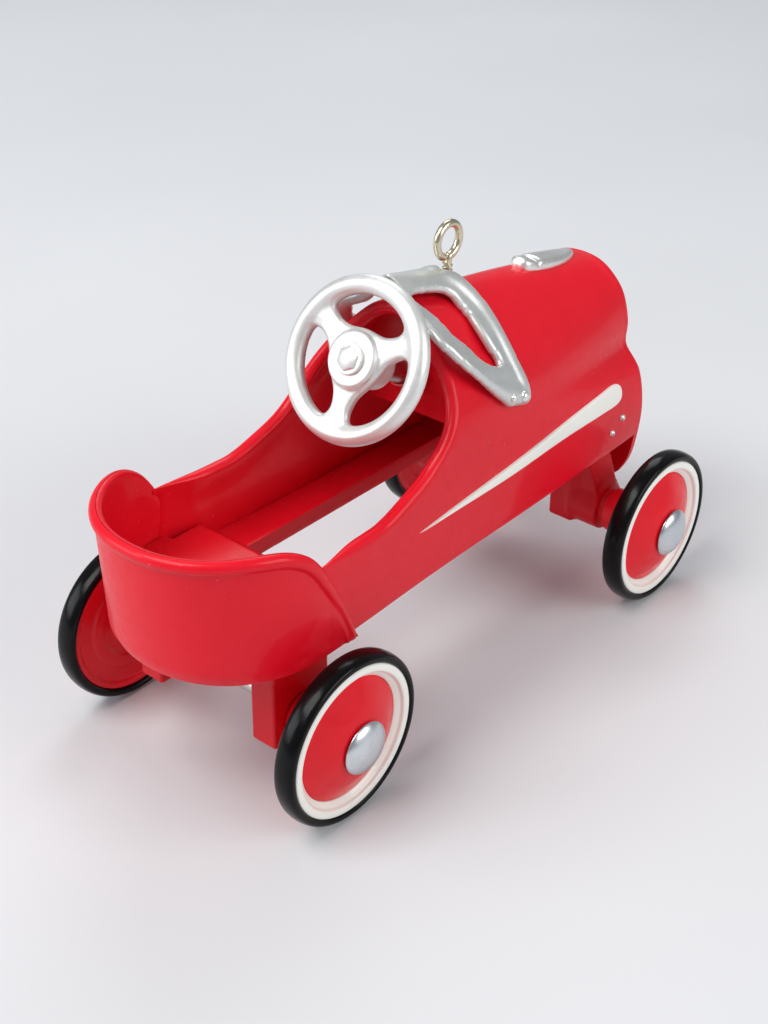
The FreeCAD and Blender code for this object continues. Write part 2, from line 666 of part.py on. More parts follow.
# ---------------------------------------------------------------------------
# Hood ornament, screw eye, side spears, small side rivets
# ---------------------------------------------------------------------------
INSIDE_HOOD_Z = 41.8     # where ornament and eye screw start, below the hood's surface
ORNAMENT = [(52.0, 1.15, 45.45), (53.6, 1.55, 45.4), (54.4, 1.6, 45.05),
            (58.0, 1.75, 44.6), (61.8, 1.45, 44.0), (64.0, 0.55, 43.45)]  # x, half width, top
EYE_X, EYE_Z = 37.8, 52.4
R_EYE, R_EYE_WIRE = 2.05, 0.5
SPEAR_RAISE = 0.40
SPEAR_OUTLINE = [
    (18.5, 26.05), (34.0, 27.2), (46.0, 28.25), (56.0, 28.75), (59.6, 28.8), (60.8, 28.35),
    (61.15, 27.4), (60.9, 26.5), (60.2, 26.05), (57.5, 25.95), (46.0, 26.2),
    (34.0, 25.8)]        # (x, z)
SIDE_RIVETS = [(61.5, 23.4), (59.2, 22.0)]      # (x, z), on each side


def ornament_section(x, half_width, top):
    outline = [(-1, top - 0.75), (-0.62, top - 0.2), (0, top), (0.62, top - 0.2), (1, top - 0.75)]
    points = [V(x, share * half_width, z) for share, z in outline]
    right, left = V(x, -half_width, INSIDE_HOOD_Z), V(x, half_width, INSIDE_HOOD_Z)
    return Part.Wire([Part.makeLine(right, points[0]), spline(points),
                      Part.makeLine(points[-1], left), Part.makeLine(left, right)])


def make_hood_ornament():
    sections = [ornament_section(*station) for station in ORNAMENT]
    return largest(Part.makeLoft(sections, True, True).cut(body_filled))


def make_eye_screw():
    ring = Part.makeTorus(R_EYE, R_EYE_WIRE, V(EYE_X, 0, EYE_Z), V(0, 1, 0))
    shank = upright(R_EYE_WIRE, EYE_Z - R_EYE - INSIDE_HOOD_Z, EYE_X, 0, INSIDE_HOOD_Z)
    return one(ring.fuse(shank))


def make_right_spear():
    raised = body_loft(OUTER_STATIONS, SPEAR_RAISE, 2.0)
    return largest(raised.cut(body_filled).common(prism_y(SPEAR_OUTLINE, -20, 0)))


# ---------------------------------------------------------------------------
# Front trim on the nose panel: slatted grille, two lamps
# ---------------------------------------------------------------------------
LAMP_Y, LAMP_Z = 7.9, 26.6
R_LENS = 1.55
R_LENS_SPHERE = 3.0
LENS_FRONT = NOSE_FRONT + 1.35


def make_grille():
    grille = box(NOSE_FRONT, NOSE_FRONT + 0.45, -5.2, 5.2, 19.0, 33.4)
    grille = grille.cut(box(NOSE_FRONT - 1, NOSE_FRONT + 2, -4.5, 4.5, 19.7, 32.7))
    for i in range(7):
        z = 20.6 + 1.72 * i
        grille = grille.fuse(box(NOSE_FRONT, NOSE_FRONT + 0.40, -4.6, 4.6, z, z + 0.75))
    return one(grille.fuse(box(NOSE_FRONT, NOSE_FRONT + 0.55, -0.5, 0.5, 19.4, 33.0)))


def make_lamp(side):
    """Bezel with a recess, and the domed lens that fills the recess."""
    y, forward = side * LAMP_Y, V(1, 0, 0)
    recess = Part.makeCylinder(R_LENS, 2.0, V(NOSE_FRONT + 0.35, y, LAMP_Z), forward)
    bezel = Part.makeCylinder(2.05, 0.9, V(NOSE_FRONT, y, LAMP_Z), forward).cut(recess)
    sphere = Part.makeSphere(R_LENS_SPHERE, V(LENS_FRONT - R_LENS_SPHERE, y, LAMP_Z))
    return one(bezel), sphere.common(recess).Solids[0]


# ---------------------------------------------------------------------------
# Build and export
# ---------------------------------------------------------------------------
body_shell = make_body_shell()
side_rivets = [wall_stud(body_filled, x, z, 0.5, 0.4, side)
               for side in SIDES for x, z in SIDE_RIVETS]
for rivet in side_rivets:
    body_shell = body_shell.cut(rivet)
# the eye screw stands in a hole in the crown of the hood
body_shell = one(body_shell.cut(upright(R_EYE_WIRE, 12, EYE_X, 0, 40.5)))
seat_pan = make_seat_pan()
dash_panel, column_bush = make_dash_and_bush()
windshield_frame, windshield_rivets = make_windshield()
right_spear = make_right_spear()

export("body_shell", body_shell)
export("nose_panel", make_nose_panel())
export("rear_tub", make_rear_tub())
export("seat_pan", seat_pan)
export("chassis_frame", make_chassis_frame(seat_pan))
export("rear_axle_carrier", make_rear_axle_carrier())
export("front_axle_carrier", make_front_axle_carrier())
export("frame_screws", make_frame_screws())
export_wheels()
export("steering_wheel", make_steering_wheel())
export("steering_nut", make_steering_nut())
export("steering_column", make_steering_column())
export("column_clip", make_column_clip())
export("column_bush", column_bush)
export("dash_panel", dash_panel)
export("windshield_frame", windshield_frame)
export("windshield_rivets", windshield_rivets)
export("hood_ornament", make_hood_ornament())
export("eye_screw", make_eye_screw())
export("side_spear_right", right_spear)
export("side_spear_left", right_spear.mirror(V(0, 0, 0), V(0, 1, 0)))
export("side_rivets", Part.makeCompound(side_rivets))
export("grille", make_grille())
for side, side_name in ((RIGHT, "right"), (LEFT, "left")):
    bezel, lens = make_lamp(side)
    export("headlamp_bezel_" + side_name, bezel)
    export("headlamp_lens_" + side_name, lens)
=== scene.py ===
"""A small red open car, about 80 mm long, standing on its wheels on a pale floor.

x runs forward, y to the car's left, z up.  Meshes are worked out in millimetres with x = 0
at the rear axle and z = 0 on the ground; `to_frame` turns them into the frame's metres.
"""
import math

import bpy
import bmesh
import numpy as np
from mathutils import Matrix, Vector


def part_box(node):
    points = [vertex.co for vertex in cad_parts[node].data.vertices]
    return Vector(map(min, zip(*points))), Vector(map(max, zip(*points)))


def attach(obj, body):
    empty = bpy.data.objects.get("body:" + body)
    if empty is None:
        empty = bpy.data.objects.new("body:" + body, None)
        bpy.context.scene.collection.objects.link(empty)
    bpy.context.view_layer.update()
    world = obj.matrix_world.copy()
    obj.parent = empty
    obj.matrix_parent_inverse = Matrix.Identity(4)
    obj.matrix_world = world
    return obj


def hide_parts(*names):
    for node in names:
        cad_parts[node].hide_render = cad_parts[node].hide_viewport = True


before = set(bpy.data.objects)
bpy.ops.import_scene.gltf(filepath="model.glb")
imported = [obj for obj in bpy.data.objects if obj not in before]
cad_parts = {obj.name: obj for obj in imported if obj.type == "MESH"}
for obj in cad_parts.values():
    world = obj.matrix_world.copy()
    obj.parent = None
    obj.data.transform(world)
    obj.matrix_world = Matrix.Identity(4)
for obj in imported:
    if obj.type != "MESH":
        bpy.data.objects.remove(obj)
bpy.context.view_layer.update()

MM = 0.001              # metres


def box_middle(node):
    low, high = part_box(node)
    return (low + high) / 2


REAR_AXLE_X = box_middle("rear_axle_rod").x             # metres, in the frame
AXLE_Z = box_middle("rear_axle_rod").z * 1000.0
FRONT_AXLE_X = (box_middle("front_axle_rod").x - REAR_AXLE_X) * 1000.0
BASE_Z = 18.6           # bottom edge of the body, tub and chassis
BODY_REAR, BODY_FRONT = 0.7, 65.6
NOSE_FRONT = 67.3
SIDES = ((-1, "right"), (1, "left"))


def to_frame(points):
    points = np.array(points, float)
    points *= MM
    points[:, 0] += REAR_AXLE_X
    return points


# ---------------------------------------------------------------------------
# Materials
# ---------------------------------------------------------------------------
class Material:
    INPUTS = {"color": "Base Color", "metal": "Metallic", "rough": "Roughness",
              "coat": "Coat Weight", "coat_rough": "Coat Roughness",
              "spec": "Specular IOR Level", "normal": "Normal", "coat_normal": "Coat Normal"}

    def __init__(self, name, slot=None):
        self.slot = slot
        self.data = bpy.data.materials.new(name)
        self.data.use_nodes = True
        self.tree = self.data.node_tree
        self.tree.nodes.clear()
        output = self.tree.nodes.new("ShaderNodeOutputMaterial")
        self.shader = self.tree.nodes.new("ShaderNodeBsdfPrincipled")
        self.tree.links.new(self.shader.outputs[0], output.inputs[0])
        self.place = self.add("TexCoord", {}, output="Object")

    def feed(self, socket, value):
        """Sets a socket to a colour or number, or links an output to it."""
        if isinstance(value, tuple):
            socket.default_value = (*value, 1.0)
        elif isinstance(value, (int, float)):
            socket.default_value = value
        else:
            self.tree.links.new(value, socket)

    def add(self, kind, inputs, output=0, **settings):
        node = self.tree.nodes.new("ShaderNode" + kind)
        for key, value in settings.items():
            setattr(node, key, value)
        for key, value in inputs.items():
            self.feed(node.inputs[key], value)
        return node.outputs[output]

    def noise(self, scale, detail, rough=0.5, place=None):
        return self.add("TexNoise", {"Scale": scale, "Detail": detail, "Roughness": rough,
                                     "Vector": place or self.place}, output="Fac")

    def ramp(self, value, span, out=(0.0, 1.0)):
        """Maps the span of input values onto out, clamped."""
        return self.add("MapRange", {"From Min": span[0], "From Max": span[1], "To Min": out[0],
                                     "To Max": out[1], "Value": value}, clamp=True)

    def patches(self, scale, detail, span, out=(0.0, 1.0), rough=0.5):
        return self.ramp(self.noise(scale, detail, rough), span, out)

    def calc(self, operation, *values):
        return self.add("Math", dict(enumerate(values)), operation=operation)

    def times(self, value, by):
        return self.calc("MULTIPLY", value, by)

    def plus(self, value, more):
        return self.calc("ADD", value, more)

    def dots(self, scale, radius):
        cells = self.add("TexVoronoi", {"Scale": scale, "Vector": self.place},
                         output="Distance", feature="F1")
        return self.calc("LESS_THAN", cells, radius)

    def mix(self, share, first, second):
        return self.add("Mix", {"Factor": share, 6: first, 7: second}, output=2,
                        data_type="RGBA")

    def bump(self, height, distance, strength, under=None):
        inputs = {"Strength": strength, "Distance": distance, "Height": height}
        if under is not None:
            inputs["Normal"] = under
        return self.add("Bump", inputs, output="Normal")

    def pointiness(self, span):
        return self.ramp(self.add("NewGeometry", {}, output="Pointiness"), span)

    def set(self, **values):
        for key, value in values.items():
            self.feed(self.shader.inputs[self.INPUTS[key]], value)
        return self


def enamel(name, slot, base, deep, light, rough, coat, coat_rough,
           peel=1.0, speck=0.12, spec=0.5):
    """Clouded enamel with dust specks and orange peel; convex edges get a lighter colour, a
    painted highlight, and more roughness, as rubbed wear.
    """
    mat = Material(name, slot)
    cloud = mat.patches(scale=38.0, detail=3.0, rough=0.55, span=(0.32, 0.70))
    color = mat.mix(cloud, deep, base)
    fine = mat.patches(scale=520.0, detail=3.0, rough=0.6, span=(0.45, 0.80))
    color = mat.mix(mat.times(fine, by=0.16), color, light)
    # patches of the convex edges are mixed towards the lighter colour as a painted highlight, and
    # roughened below as rubbed wear
    highlight_and_wear_patches = mat.patches(scale=260.0, detail=4.0, rough=0.65, span=(0.42, 0.62), out=(0.0, 0.40))
    edge = mat.times(mat.pointiness(span=(0.515, 0.56)), highlight_and_wear_patches)
    color = mat.mix(edge, color, light)
    sparse = mat.patches(scale=110.0, detail=2.0, span=(0.56, 0.62))
    dust = mat.times(mat.times(mat.dots(scale=640.0, radius=0.085), sparse), speck)
    dust_color = (0.80, 0.62, 0.60)
    color = mat.mix(dust, color, dust_color)
    uneven = mat.times(mat.patches(scale=900.0, detail=2.0, rough=0.6, span=(0.3, 0.8),
                                   out=(-0.05, 0.09)), by=1.0)
    roughness = mat.plus(mat.plus(uneven, rough), mat.times(edge, by=0.2))
    smears = mat.patches(scale=160.0, detail=4.0, rough=0.6, span=(0.42, 0.75), out=(0.0, 0.10))
    orange = mat.bump(mat.noise(scale=430.0, detail=2.0), distance=0.00002 * peel, strength=0.55)
    grain = mat.bump(mat.noise(scale=2600.0, detail=2.0, rough=0.6),
                     distance=0.000004 * peel, strength=0.6, under=orange)
    return mat.set(color=color, rough=roughness, coat=coat,
                   coat_rough=mat.plus(smears, coat_rough),
                   normal=grain, coat_normal=orange, spec=spec)


def silver_paint(name, base, dark, rough, metal, grain=1.0):
    """Flaky silver paint, darker and rougher in the hollows."""
    mat = Material(name, "silver_cast")
    color = mat.mix(mat.patches(scale=60.0, detail=3.0, rough=0.55, span=(0.35, 0.7)), dark, base)
    flake = mat.noise(scale=4200.0, detail=2.0, rough=0.7)
    flake_color = (1.0, 1.0, 0.98)
    color = mat.mix(mat.times(mat.ramp(flake, span=(0.50, 0.75)), by=0.35), color, flake_color)
    # hollows (low pointiness) are darkened towards a near-black colour and roughened, in patches
    hollow_share = mat.times(mat.pointiness(span=(0.480, 0.450)),
                      mat.patches(scale=220.0, detail=3.0, span=(0.35, 0.65), out=(0.05, 0.30)))
    hollow_color = (0.20, 0.19, 0.18)
    color = mat.mix(hollow_share, color, hollow_color)
    uneven = mat.patches(scale=700.0, detail=3.0, rough=0.65, span=(0.25, 0.8), out=(-0.05, 0.10))
    roughness = mat.plus(mat.plus(uneven, rough), mat.times(hollow_share, by=0.15))
    waves = mat.bump(mat.noise(scale=380.0, detail=3.0, rough=0.55),
                     distance=0.00003 * grain, strength=0.6)
    flakes = mat.bump(flake, distance=0.000007 * grain, strength=0.7, under=waves)
    return mat.set(color=color, rough=roughness, metal=metal, normal=flakes,
                   coat=0.15, coat_rough=0.25)


def turning_marks(mat, centre):
    """Fine rings about an axis that runs along y through the centre (metres)."""
    offset = mat.tree.nodes.new("ShaderNodeVectorMath")
    offset.operation = "SUBTRACT"
    offset.inputs[1].default_value = centre
    mat.feed(offset.inputs[0], mat.place)
    parts = mat.tree.nodes.new("ShaderNodeSeparateXYZ")
    mat.feed(parts.inputs[0], offset.outputs[0])
    squares = [mat.times(parts.outputs[axis], by=parts.outputs[axis]) for axis in "XZ"]
    radius = mat.calc("SQRT", mat.plus(*squares))
    place = mat.add("CombineXYZ", {0: mat.times(radius, by=5200.0)})
    return mat.bump(mat.noise(scale=1.0, detail=2.0, place=place),
                    distance=0.000006, strength=0.55)


def bare_metal(name, slot, base, dark, rough, centre=None):
    """Pitted metal, with turning marks if a centre is given."""
    mat = Material(name, slot)
    color = mat.mix(mat.patches(scale=130.0, detail=3.0, rough=0.6, span=(0.3, 0.72)), dark, base)
    if centre:
        grain = turning_marks(mat, centre)
    else:
        grain = mat.bump(mat.noise(scale=1500.0, detail=3.0, rough=0.6),
                         distance=0.000008, strength=0.6)
    pits = mat.times(mat.dots(scale=1500.0, radius=0.10),
                     mat.patches(scale=300.0, detail=2.0, span=(0.58, 0.64)))
    pit_color = (0.16, 0.14, 0.12)
    color = mat.mix(mat.times(pits, by=0.55), color, pit_color)
    uneven = mat.patches(scale=420.0, detail=4.0, rough=0.65, span=(0.25, 0.8), out=(-0.05, 0.12))
    return mat.set(color=color, rough=mat.plus(uneven, rough), metal=1.0,
                   normal=mat.bump(pits, distance=-0.00001, strength=0.6, under=grain))


def lens_material():
    mat = Material("lamp_lens", "lamp_lens")
    shades = (0.80, 0.80, 0.76), (0.90, 0.90, 0.86)
    color = mat.mix(mat.patches(scale=200.0, detail=2.0, span=(0.3, 0.7)), *shades)
    return mat.set(
        color=color, coat=1.0, coat_rough=0.04, metal=0.35,
        rough=mat.patches(scale=500.0, detail=2.0, span=(0.3, 0.7), out=(0.10, 0.20)),
        normal=mat.bump(mat.noise(scale=900.0, detail=1.0, rough=0.4),
                        distance=0.00002, strength=0.6))


def floor_material():
    mat = Material("pale_floor")
    shades = (0.66, 0.67, 0.69), (0.70, 0.71, 0.73)
    color = mat.mix(mat.patches(scale=9.0, detail=3.0, span=(0.3, 0.7)), *shades)
    return mat.set(color=color, rough=0.75, spec=0.25,
                   normal=mat.bump(mat.noise(scale=900.0, detail=2.0),
                                   distance=0.00005, strength=0.3))


RED = enamel(
    "red_enamel", "red_enamel", base=(0.800, 0.0040, 0.0200), deep=(0.720, 0.0030, 0.0150),
    light=(0.88, 0.020, 0.040), rough=0.40, coat=0.20, coat_rough=0.08, spec=0.18)
# copy of the same red enamel, with a rougher coat, for the seat, chassis, carriers and dash under
# and inside the car; its darker colour is painted shade
RED_FRAME_SHADED = enamel(
    "red_enamel_frame_shaded", "red_enamel", base=(0.700, 0.0040, 0.0150), deep=(0.600, 0.0030, 0.0120),
    light=(0.78, 0.020, 0.030), rough=0.40, coat=0.16, coat_rough=0.16, peel=1.5, spec=0.18)
RED_WHEEL = enamel(
    "red_wheel_enamel", "red_wheel", base=(0.820, 0.0045, 0.0170), deep=(0.740, 0.0035, 0.0140),
    light=(0.88, 0.025, 0.035), rough=0.38, coat=0.22, coat_rough=0.08, peel=0.8, speck=0.0,
    spec=0.20)
CREAM = enamel(
    "cream_enamel", "cream_enamel", base=(0.940, 0.935, 0.880), deep=(0.900, 0.890, 0.820),
    light=(0.96, 0.96, 0.93), rough=0.34, coat=0.4, coat_rough=0.12, peel=0.8, speck=0.0)
BLACK = enamel(
    "black_tyre", "black_tyre", base=(0.0035, 0.0035, 0.0038), deep=(0.0020, 0.0020, 0.0022),
    light=(0.012, 0.012, 0.012), rough=0.20, coat=0.0, coat_rough=0.10, peel=0.9, speck=0.0,
    spec=0.16)
SILVER = silver_paint("silver_paint", base=(0.74, 0.76, 0.74), dark=(0.64, 0.66, 0.64),
                      rough=0.40, metal=0.72)
SILVER_SATIN = silver_paint("silver_satin", base=(0.84, 0.85, 0.83), dark=(0.76, 0.77, 0.75),
                            rough=0.42, metal=0.66, grain=0.8)
SILVER_BRIGHT = silver_paint("silver_bright", base=(0.86, 0.86, 0.83), dark=(0.78, 0.78, 0.75),
                             rough=0.30, metal=0.85, grain=0.6)
STEEL = bare_metal("axle_steel", "axle_steel", base=(0.66, 0.65, 0.62), dark=(0.50, 0.49, 0.47),
                   rough=0.30)
BRASS = bare_metal("nickel_brass", "nickel_brass", base=(0.78, 0.72, 0.56),
                   dark=(0.66, 0.58, 0.42), rough=0.22)
LENS = lens_material()


# ---------------------------------------------------------------------------
# Mesh helpers.  A mesh is a pair (points in mm, faces).
# ---------------------------------------------------------------------------
def piece(name, mesh, material, node, angle, merge=0.0008, body="car"):
    """Adds a mesh in place of a CAD node; merge is in mm, angle (degrees) marks sharp edges."""
    points, faces = mesh
    data = bpy.data.meshes.new(name)
    data.from_pydata(to_frame(points).tolist(), [], [tuple(map(int, face)) for face in faces])
    edit = bmesh.new()
    edit.from_mesh(data)
    bmesh.ops.remove_doubles(edit, verts=edit.verts, dist=merge * 0.001)
    bmesh.ops.dissolve_degenerate(edit, edges=edit.edges, dist=merge * 0.0002)
    loose = [vert for vert in edit.verts if not vert.link_faces]
    if loose:
        bmesh.ops.delete(edit, geom=loose, context="VERTS")
    bmesh.ops.recalc_face_normals(edit, faces=edit.faces)
    edit.to_mesh(data)
    edit.free()
    data.update()
    data.shade_smooth()
    data.set_sharp_from_angle(angle=math.radians(angle))
    part = bpy.data.objects.new(name, data)
    bpy.context.scene.collection.objects.link(part)
    data.materials.append(material.data)
    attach(part, body)
    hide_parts(node)
    return part


def join(meshes):
    points, faces = [], []
    base = 0
    for part_points, part_faces in meshes:
        points.append(part_points)
        faces += [tuple(int(i) + base for i in face) for face in part_faces]
        base += len(part_points)
    return np.vstack(points), faces


def grid_faces(rows, columns, base=0, flip=False, wrap_rows=False, wrap_columns=False):
    r = np.arange(rows if wrap_rows else rows - 1)
    c = np.arange(columns if wrap_columns else columns - 1)
    row, column = np.meshgrid(r, c, indexing="ij")
    next_row, next_column = (row + 1) % rows, (column + 1) % columns
    corners = [row * columns + column, row * columns + next_column,
               next_row * columns + next_column, next_row * columns + column]
    faces = np.stack(corners, -1).reshape(-1, 4) + base
    return faces[:, ::-1] if flip else faces


def strip_faces(first, second, flip=False):
    """Quads between two equally long runs of vertex numbers."""
    faces = np.stack([first[:-1], first[1:], second[1:], second[:-1]], 1)
    return faces[:, ::-1] if flip else faces


def unit(vectors):
    return vectors / np.linalg.norm(vectors, axis=-1, keepdims=True)


def face_toward(normals, reference):
    normals[(normals * reference).sum(-1) < 0] *= -1
    return normals


def smooth(x):
    x = np.clip(x, 0, 1)
    return x * x * (3 - 2 * x)


def spline_matrix(knots):
    """Turns the values at the knots into a natural cubic spline's second derivatives."""
    count, step = len(knots), np.diff(knots)
    left, right = np.zeros((count, count)), np.zeros((count, count))
    left[0, 0] = left[-1, -1] = 1
    for i in range(1, count - 1):
        before, after = step[i - 1], step[i]
        left[i, i - 1:i + 2] = before, 2 * (before + after), after
        right[i, i - 1:i + 2] = 6 / before, -6 / before - 6 / after, 6 / after
    return np.linalg.solve(left, right)


def spline(knots, matrix, values, at):
    """Spline values; two-dimensional values hold one column for each point of `at`."""
    bend = matrix @ values
    i = np.clip(np.searchsorted(knots, at, side="right") - 1, 0, len(knots) - 2)
    step = knots[i + 1] - knots[i]
    back, ahead = (knots[i + 1] - at) / step, (at - knots[i]) / step
    low, high = i, i + 1
    if values.ndim == 2:
        column = np.arange(len(at))
        low, high = (i, column), (i + 1, column)
    cubic = (back ** 3 - back) * bend[low] + (ahead ** 3 - ahead) * bend[high]
    return back * values[low] + ahead * values[high] + cubic * step * step / 6


def curve(points, count, closed=False):
    """count points along a smooth curve through the given points."""
    p = np.asarray(points, float)
    if closed:
        p = np.vstack([p[-3:], p, p[:4]])
    knots = np.r_[0, np.cumsum(np.linalg.norm(np.diff(p, axis=0), axis=1) ** 0.7)]
    matrix = spline_matrix(knots)
    if closed:
        at = np.linspace(knots[3], knots[len(p) - 4], count, endpoint=False)
    else:
        at = np.linspace(knots[0], knots[-1], count)
    return np.stack([spline(knots, matrix, p[:, k], at) for k in range(p.shape[1])], 1)


def resample(line, count):
    """count points evenly spaced along a polyline."""
    length = np.r_[0, np.cumsum(np.linalg.norm(np.diff(line, axis=0), axis=1))]
    at = np.linspace(0, length[-1], count)
    return np.stack([np.interp(at, length, line[:, k]) for k in range(line.shape[1])], 1)


def line_distance(points, line, closed=False, chunk=4000):
    """Distance from each point to a polyline; chunk bounds the memory used."""
    line = np.asarray(line, float)
    start, end = (line, np.roll(line, -1, 0)) if closed else (line[:-1], line[1:])
    span = end - start
    square = np.maximum((span ** 2).sum(1), 1e-12)
    out = np.empty(len(points))
    for k in range(0, len(points), chunk):
        offset = points[k:k + chunk, None, :] - start[None]
        share = np.clip((offset * span[None]).sum(-1) / square, 0, 1)
        gap = offset - share[..., None] * span[None]
        out[k:k + chunk] = np.sqrt((gap ** 2).sum(-1).min(1))
    return out


def inside_polygon(points, polygon):
    x, y = points[:, 0], points[:, 1]
    inside = np.zeros(len(points), bool)
    for (x0, y0), (x1, y1) in zip(polygon, np.roll(polygon, -1, 0)):
        crosses = (y0 > y) != (y1 > y)
        inside ^= crosses & (x < (x1 - x0) * (y - y0) / (y1 - y0 + 1e-15) + x0)
    return inside


def polygon_distance(points, polygon):
    """Distance to a closed polygon, negative inside it."""
    distance = line_distance(points, polygon, closed=True)
    return np.where(inside_polygon(points, polygon), -distance, distance)


def fillet(rows):
    """Rounds the corners of an open polyline of (x, y, corner radius) rows."""
    rows = np.asarray(rows, float)
    out = []
    for i, (x, y, radius) in enumerate(rows):
        corner = np.array([x, y])
        if radius <= 0:
            out.append(corner)
            continue
        back, ahead = rows[i - 1, :2] - corner, rows[i + 1, :2] - corner
        back_length, ahead_length = np.linalg.norm(back), np.linalg.norm(ahead)
        cut = min(radius, 0.48 * back_length, 0.48 * ahead_length)
        start = corner + back / back_length * cut
        end = corner + ahead / ahead_length * cut
        for t in np.linspace(0, 1, 5):
            out.append((1 - t) ** 2 * start + 2 * t * (1 - t) * corner + t * t * end)
    return np.array(out)


def lathe(profile, origin, axis, segments):
    """Closed (radius, distance along the axis) profile turned about an axis."""
    axis = unit(np.asarray(axis, float))
    across = unit(np.cross(axis, (0.0, 0.0, 1.0) if abs(axis[2]) < 0.9 else (1.0, 0, 0)))
    third = np.cross(axis, across)
    angle = np.linspace(0, 2 * math.pi, segments, endpoint=False)
    ring = np.cos(angle)[:, None] * across + np.sin(angle)[:, None] * third
    profile = np.asarray(profile, float)
    points = (np.asarray(origin, float) + profile[None, :, 0, None] * ring[:, None, :]
              + profile[None, :, 1, None] * axis)
    return points.reshape(-1, 3), grid_faces(segments, len(profile), wrap_rows=True,
                                             wrap_columns=True)


# ---------------------------------------------------------------------------
# Solids from distance fields: a field is negative inside the solid
# ---------------------------------------------------------------------------
def grid_axes(low, high, step):
    counts = np.ceil((np.array(high) - np.array(low)) / step).astype(int) + 1
    return [low[k] + step * np.arange(counts[k]) for k in range(3)]


def net(values, low, step):
    """All-quad surface where the gridded values cross zero, one point per crossed cell."""
    cells = np.array(values.shape) - 1
    total = np.zeros(tuple(cells) + (3,))
    count = np.zeros(tuple(cells))
    crossings = []
    for k in range(3):
        before, after = [slice(None)] * 3, [slice(None)] * 3
        before[k], after[k] = slice(0, -1), slice(1, None)
        value0, value1 = values[tuple(before)], values[tuple(after)]
        crossed = (value0 < 0) != (value1 < 0)
        index = np.argwhere(crossed)
        place = index.astype(float)
        place[:, k] += value0[crossed] / (value0[crossed] - value1[crossed])
        crossings.append((index, value0[crossed] < 0))
        others = [m for m in range(3) if m != k]
        for shift0 in (0, 1):
            for shift1 in (0, 1):
                cell = index.copy()
                cell[:, others[0]] -= shift0
                cell[:, others[1]] -= shift1
                valid = (cell >= 0).all(1) & (cell < cells).all(1)
                where = tuple(cell[valid].T)
                np.add.at(total, where, place[valid])
                np.add.at(count, where, 1)
    used = count > 0
    number = np.full(tuple(cells), -1)
    number[used] = np.arange(used.sum())
    points = low + step * (total[used] / count[used][:, None])
    faces = []
    for k, (index, negative) in enumerate(crossings):
        one, two = (k + 1) % 3, (k + 2) % 3
        valid = ((index[:, one] > 0) & (index[:, two] > 0)
                 & (index[:, one] < cells[one]) & (index[:, two] < cells[two]))
        index, negative = index[valid], negative[valid]
        corners = []
        for shift1, shift2 in ((1, 1), (0, 1), (0, 0), (1, 0)):
            cell = index.copy()
            cell[:, one] -= shift1
            cell[:, two] -= shift2
            corners.append(number[tuple(cell.T)])
        quads = np.stack(corners, 1)
        quads[~negative] = quads[~negative][:, ::-1]
        faces.append(quads)
    return points, np.vstack(faces)


def solid(field, low, high, step):
    """Mesh of a field inside a box, its points then drawn onto the true surface."""
    axes = grid_axes(low, high, step)
    values = np.empty([len(axis) for axis in axes])
    y, z = np.meshgrid(axes[1], axes[2], indexing="ij")
    for i, x in enumerate(axes[0]):
        layer = np.stack([np.full(y.size, x), y.ravel(), z.ravel()], 1)
        values[i] = field(layer).reshape(y.shape)
    points, faces = net(values, np.asarray(low, float), step)
    nudge = 0.02 * step
    for _ in range(2):
        value = field(points)
        slope = np.stack([(field(points + nudge * axis) - field(points - nudge * axis))
                          / (2 * nudge) for axis in np.eye(3)], 1)
        square = np.maximum((slope ** 2).sum(1), 0.05)
        points = points - np.clip(value / square, -0.5 * step, 0.5 * step)[:, None] * slope
    return points, faces


def relax(points, faces, rounds, shrink=0.5, swell=-0.52):
    """Taubin smoothing of a quad mesh."""
    edges = np.vstack([faces[:, [i, (i + 1) % 4]] for i in range(4)])
    edges = np.vstack([edges, edges[:, ::-1]])
    count = len(points)
    degree = np.bincount(edges[:, 0], minlength=count).astype(float)
    for i in range(rounds * 2):
        total = np.stack([np.bincount(edges[:, 0], weights=points[edges[:, 1], axis],
                                      minlength=count) for axis in range(3)], 1)
        share = shrink if i % 2 == 0 else swell
        points = points + share * (total / degree[:, None] - points)
    return points


def soft_min(a, b, blend):
    share = np.clip(0.5 + 0.5 * (b - a) / blend, 0, 1)
    return b * (1 - share) + a * share - blend * share * (1 - share)


def soft_max(a, b, blend):
    return -soft_min(-a, -b, blend)


def round_box(points, low, high, edge):
    low, high = np.asarray(low, float), np.asarray(high, float)
    gap = np.abs(points - (low + high) / 2) - ((high - low) / 2 - edge)
    return np.sqrt((np.maximum(gap, 0) ** 2).sum(1)) + np.minimum(gap.max(1), 0) - edge


def rod(points, centre, axis, radius, start, end, edge=0.0):
    """Round bar from start to end along an axis through the centre."""
    axis = unit(np.asarray(axis, float))
    offset = points - np.asarray(centre, float)
    along = offset @ axis
    around = np.sqrt(np.maximum((offset ** 2).sum(1) - along * along, 0))
    out = around - (radius - edge)
    past = np.abs(along - (start + end) / 2) - ((end - start) / 2 - edge)
    return (np.sqrt(np.maximum(out, 0) ** 2 + np.maximum(past, 0) ** 2)
            + np.minimum(np.maximum(out, past), 0) - edge)


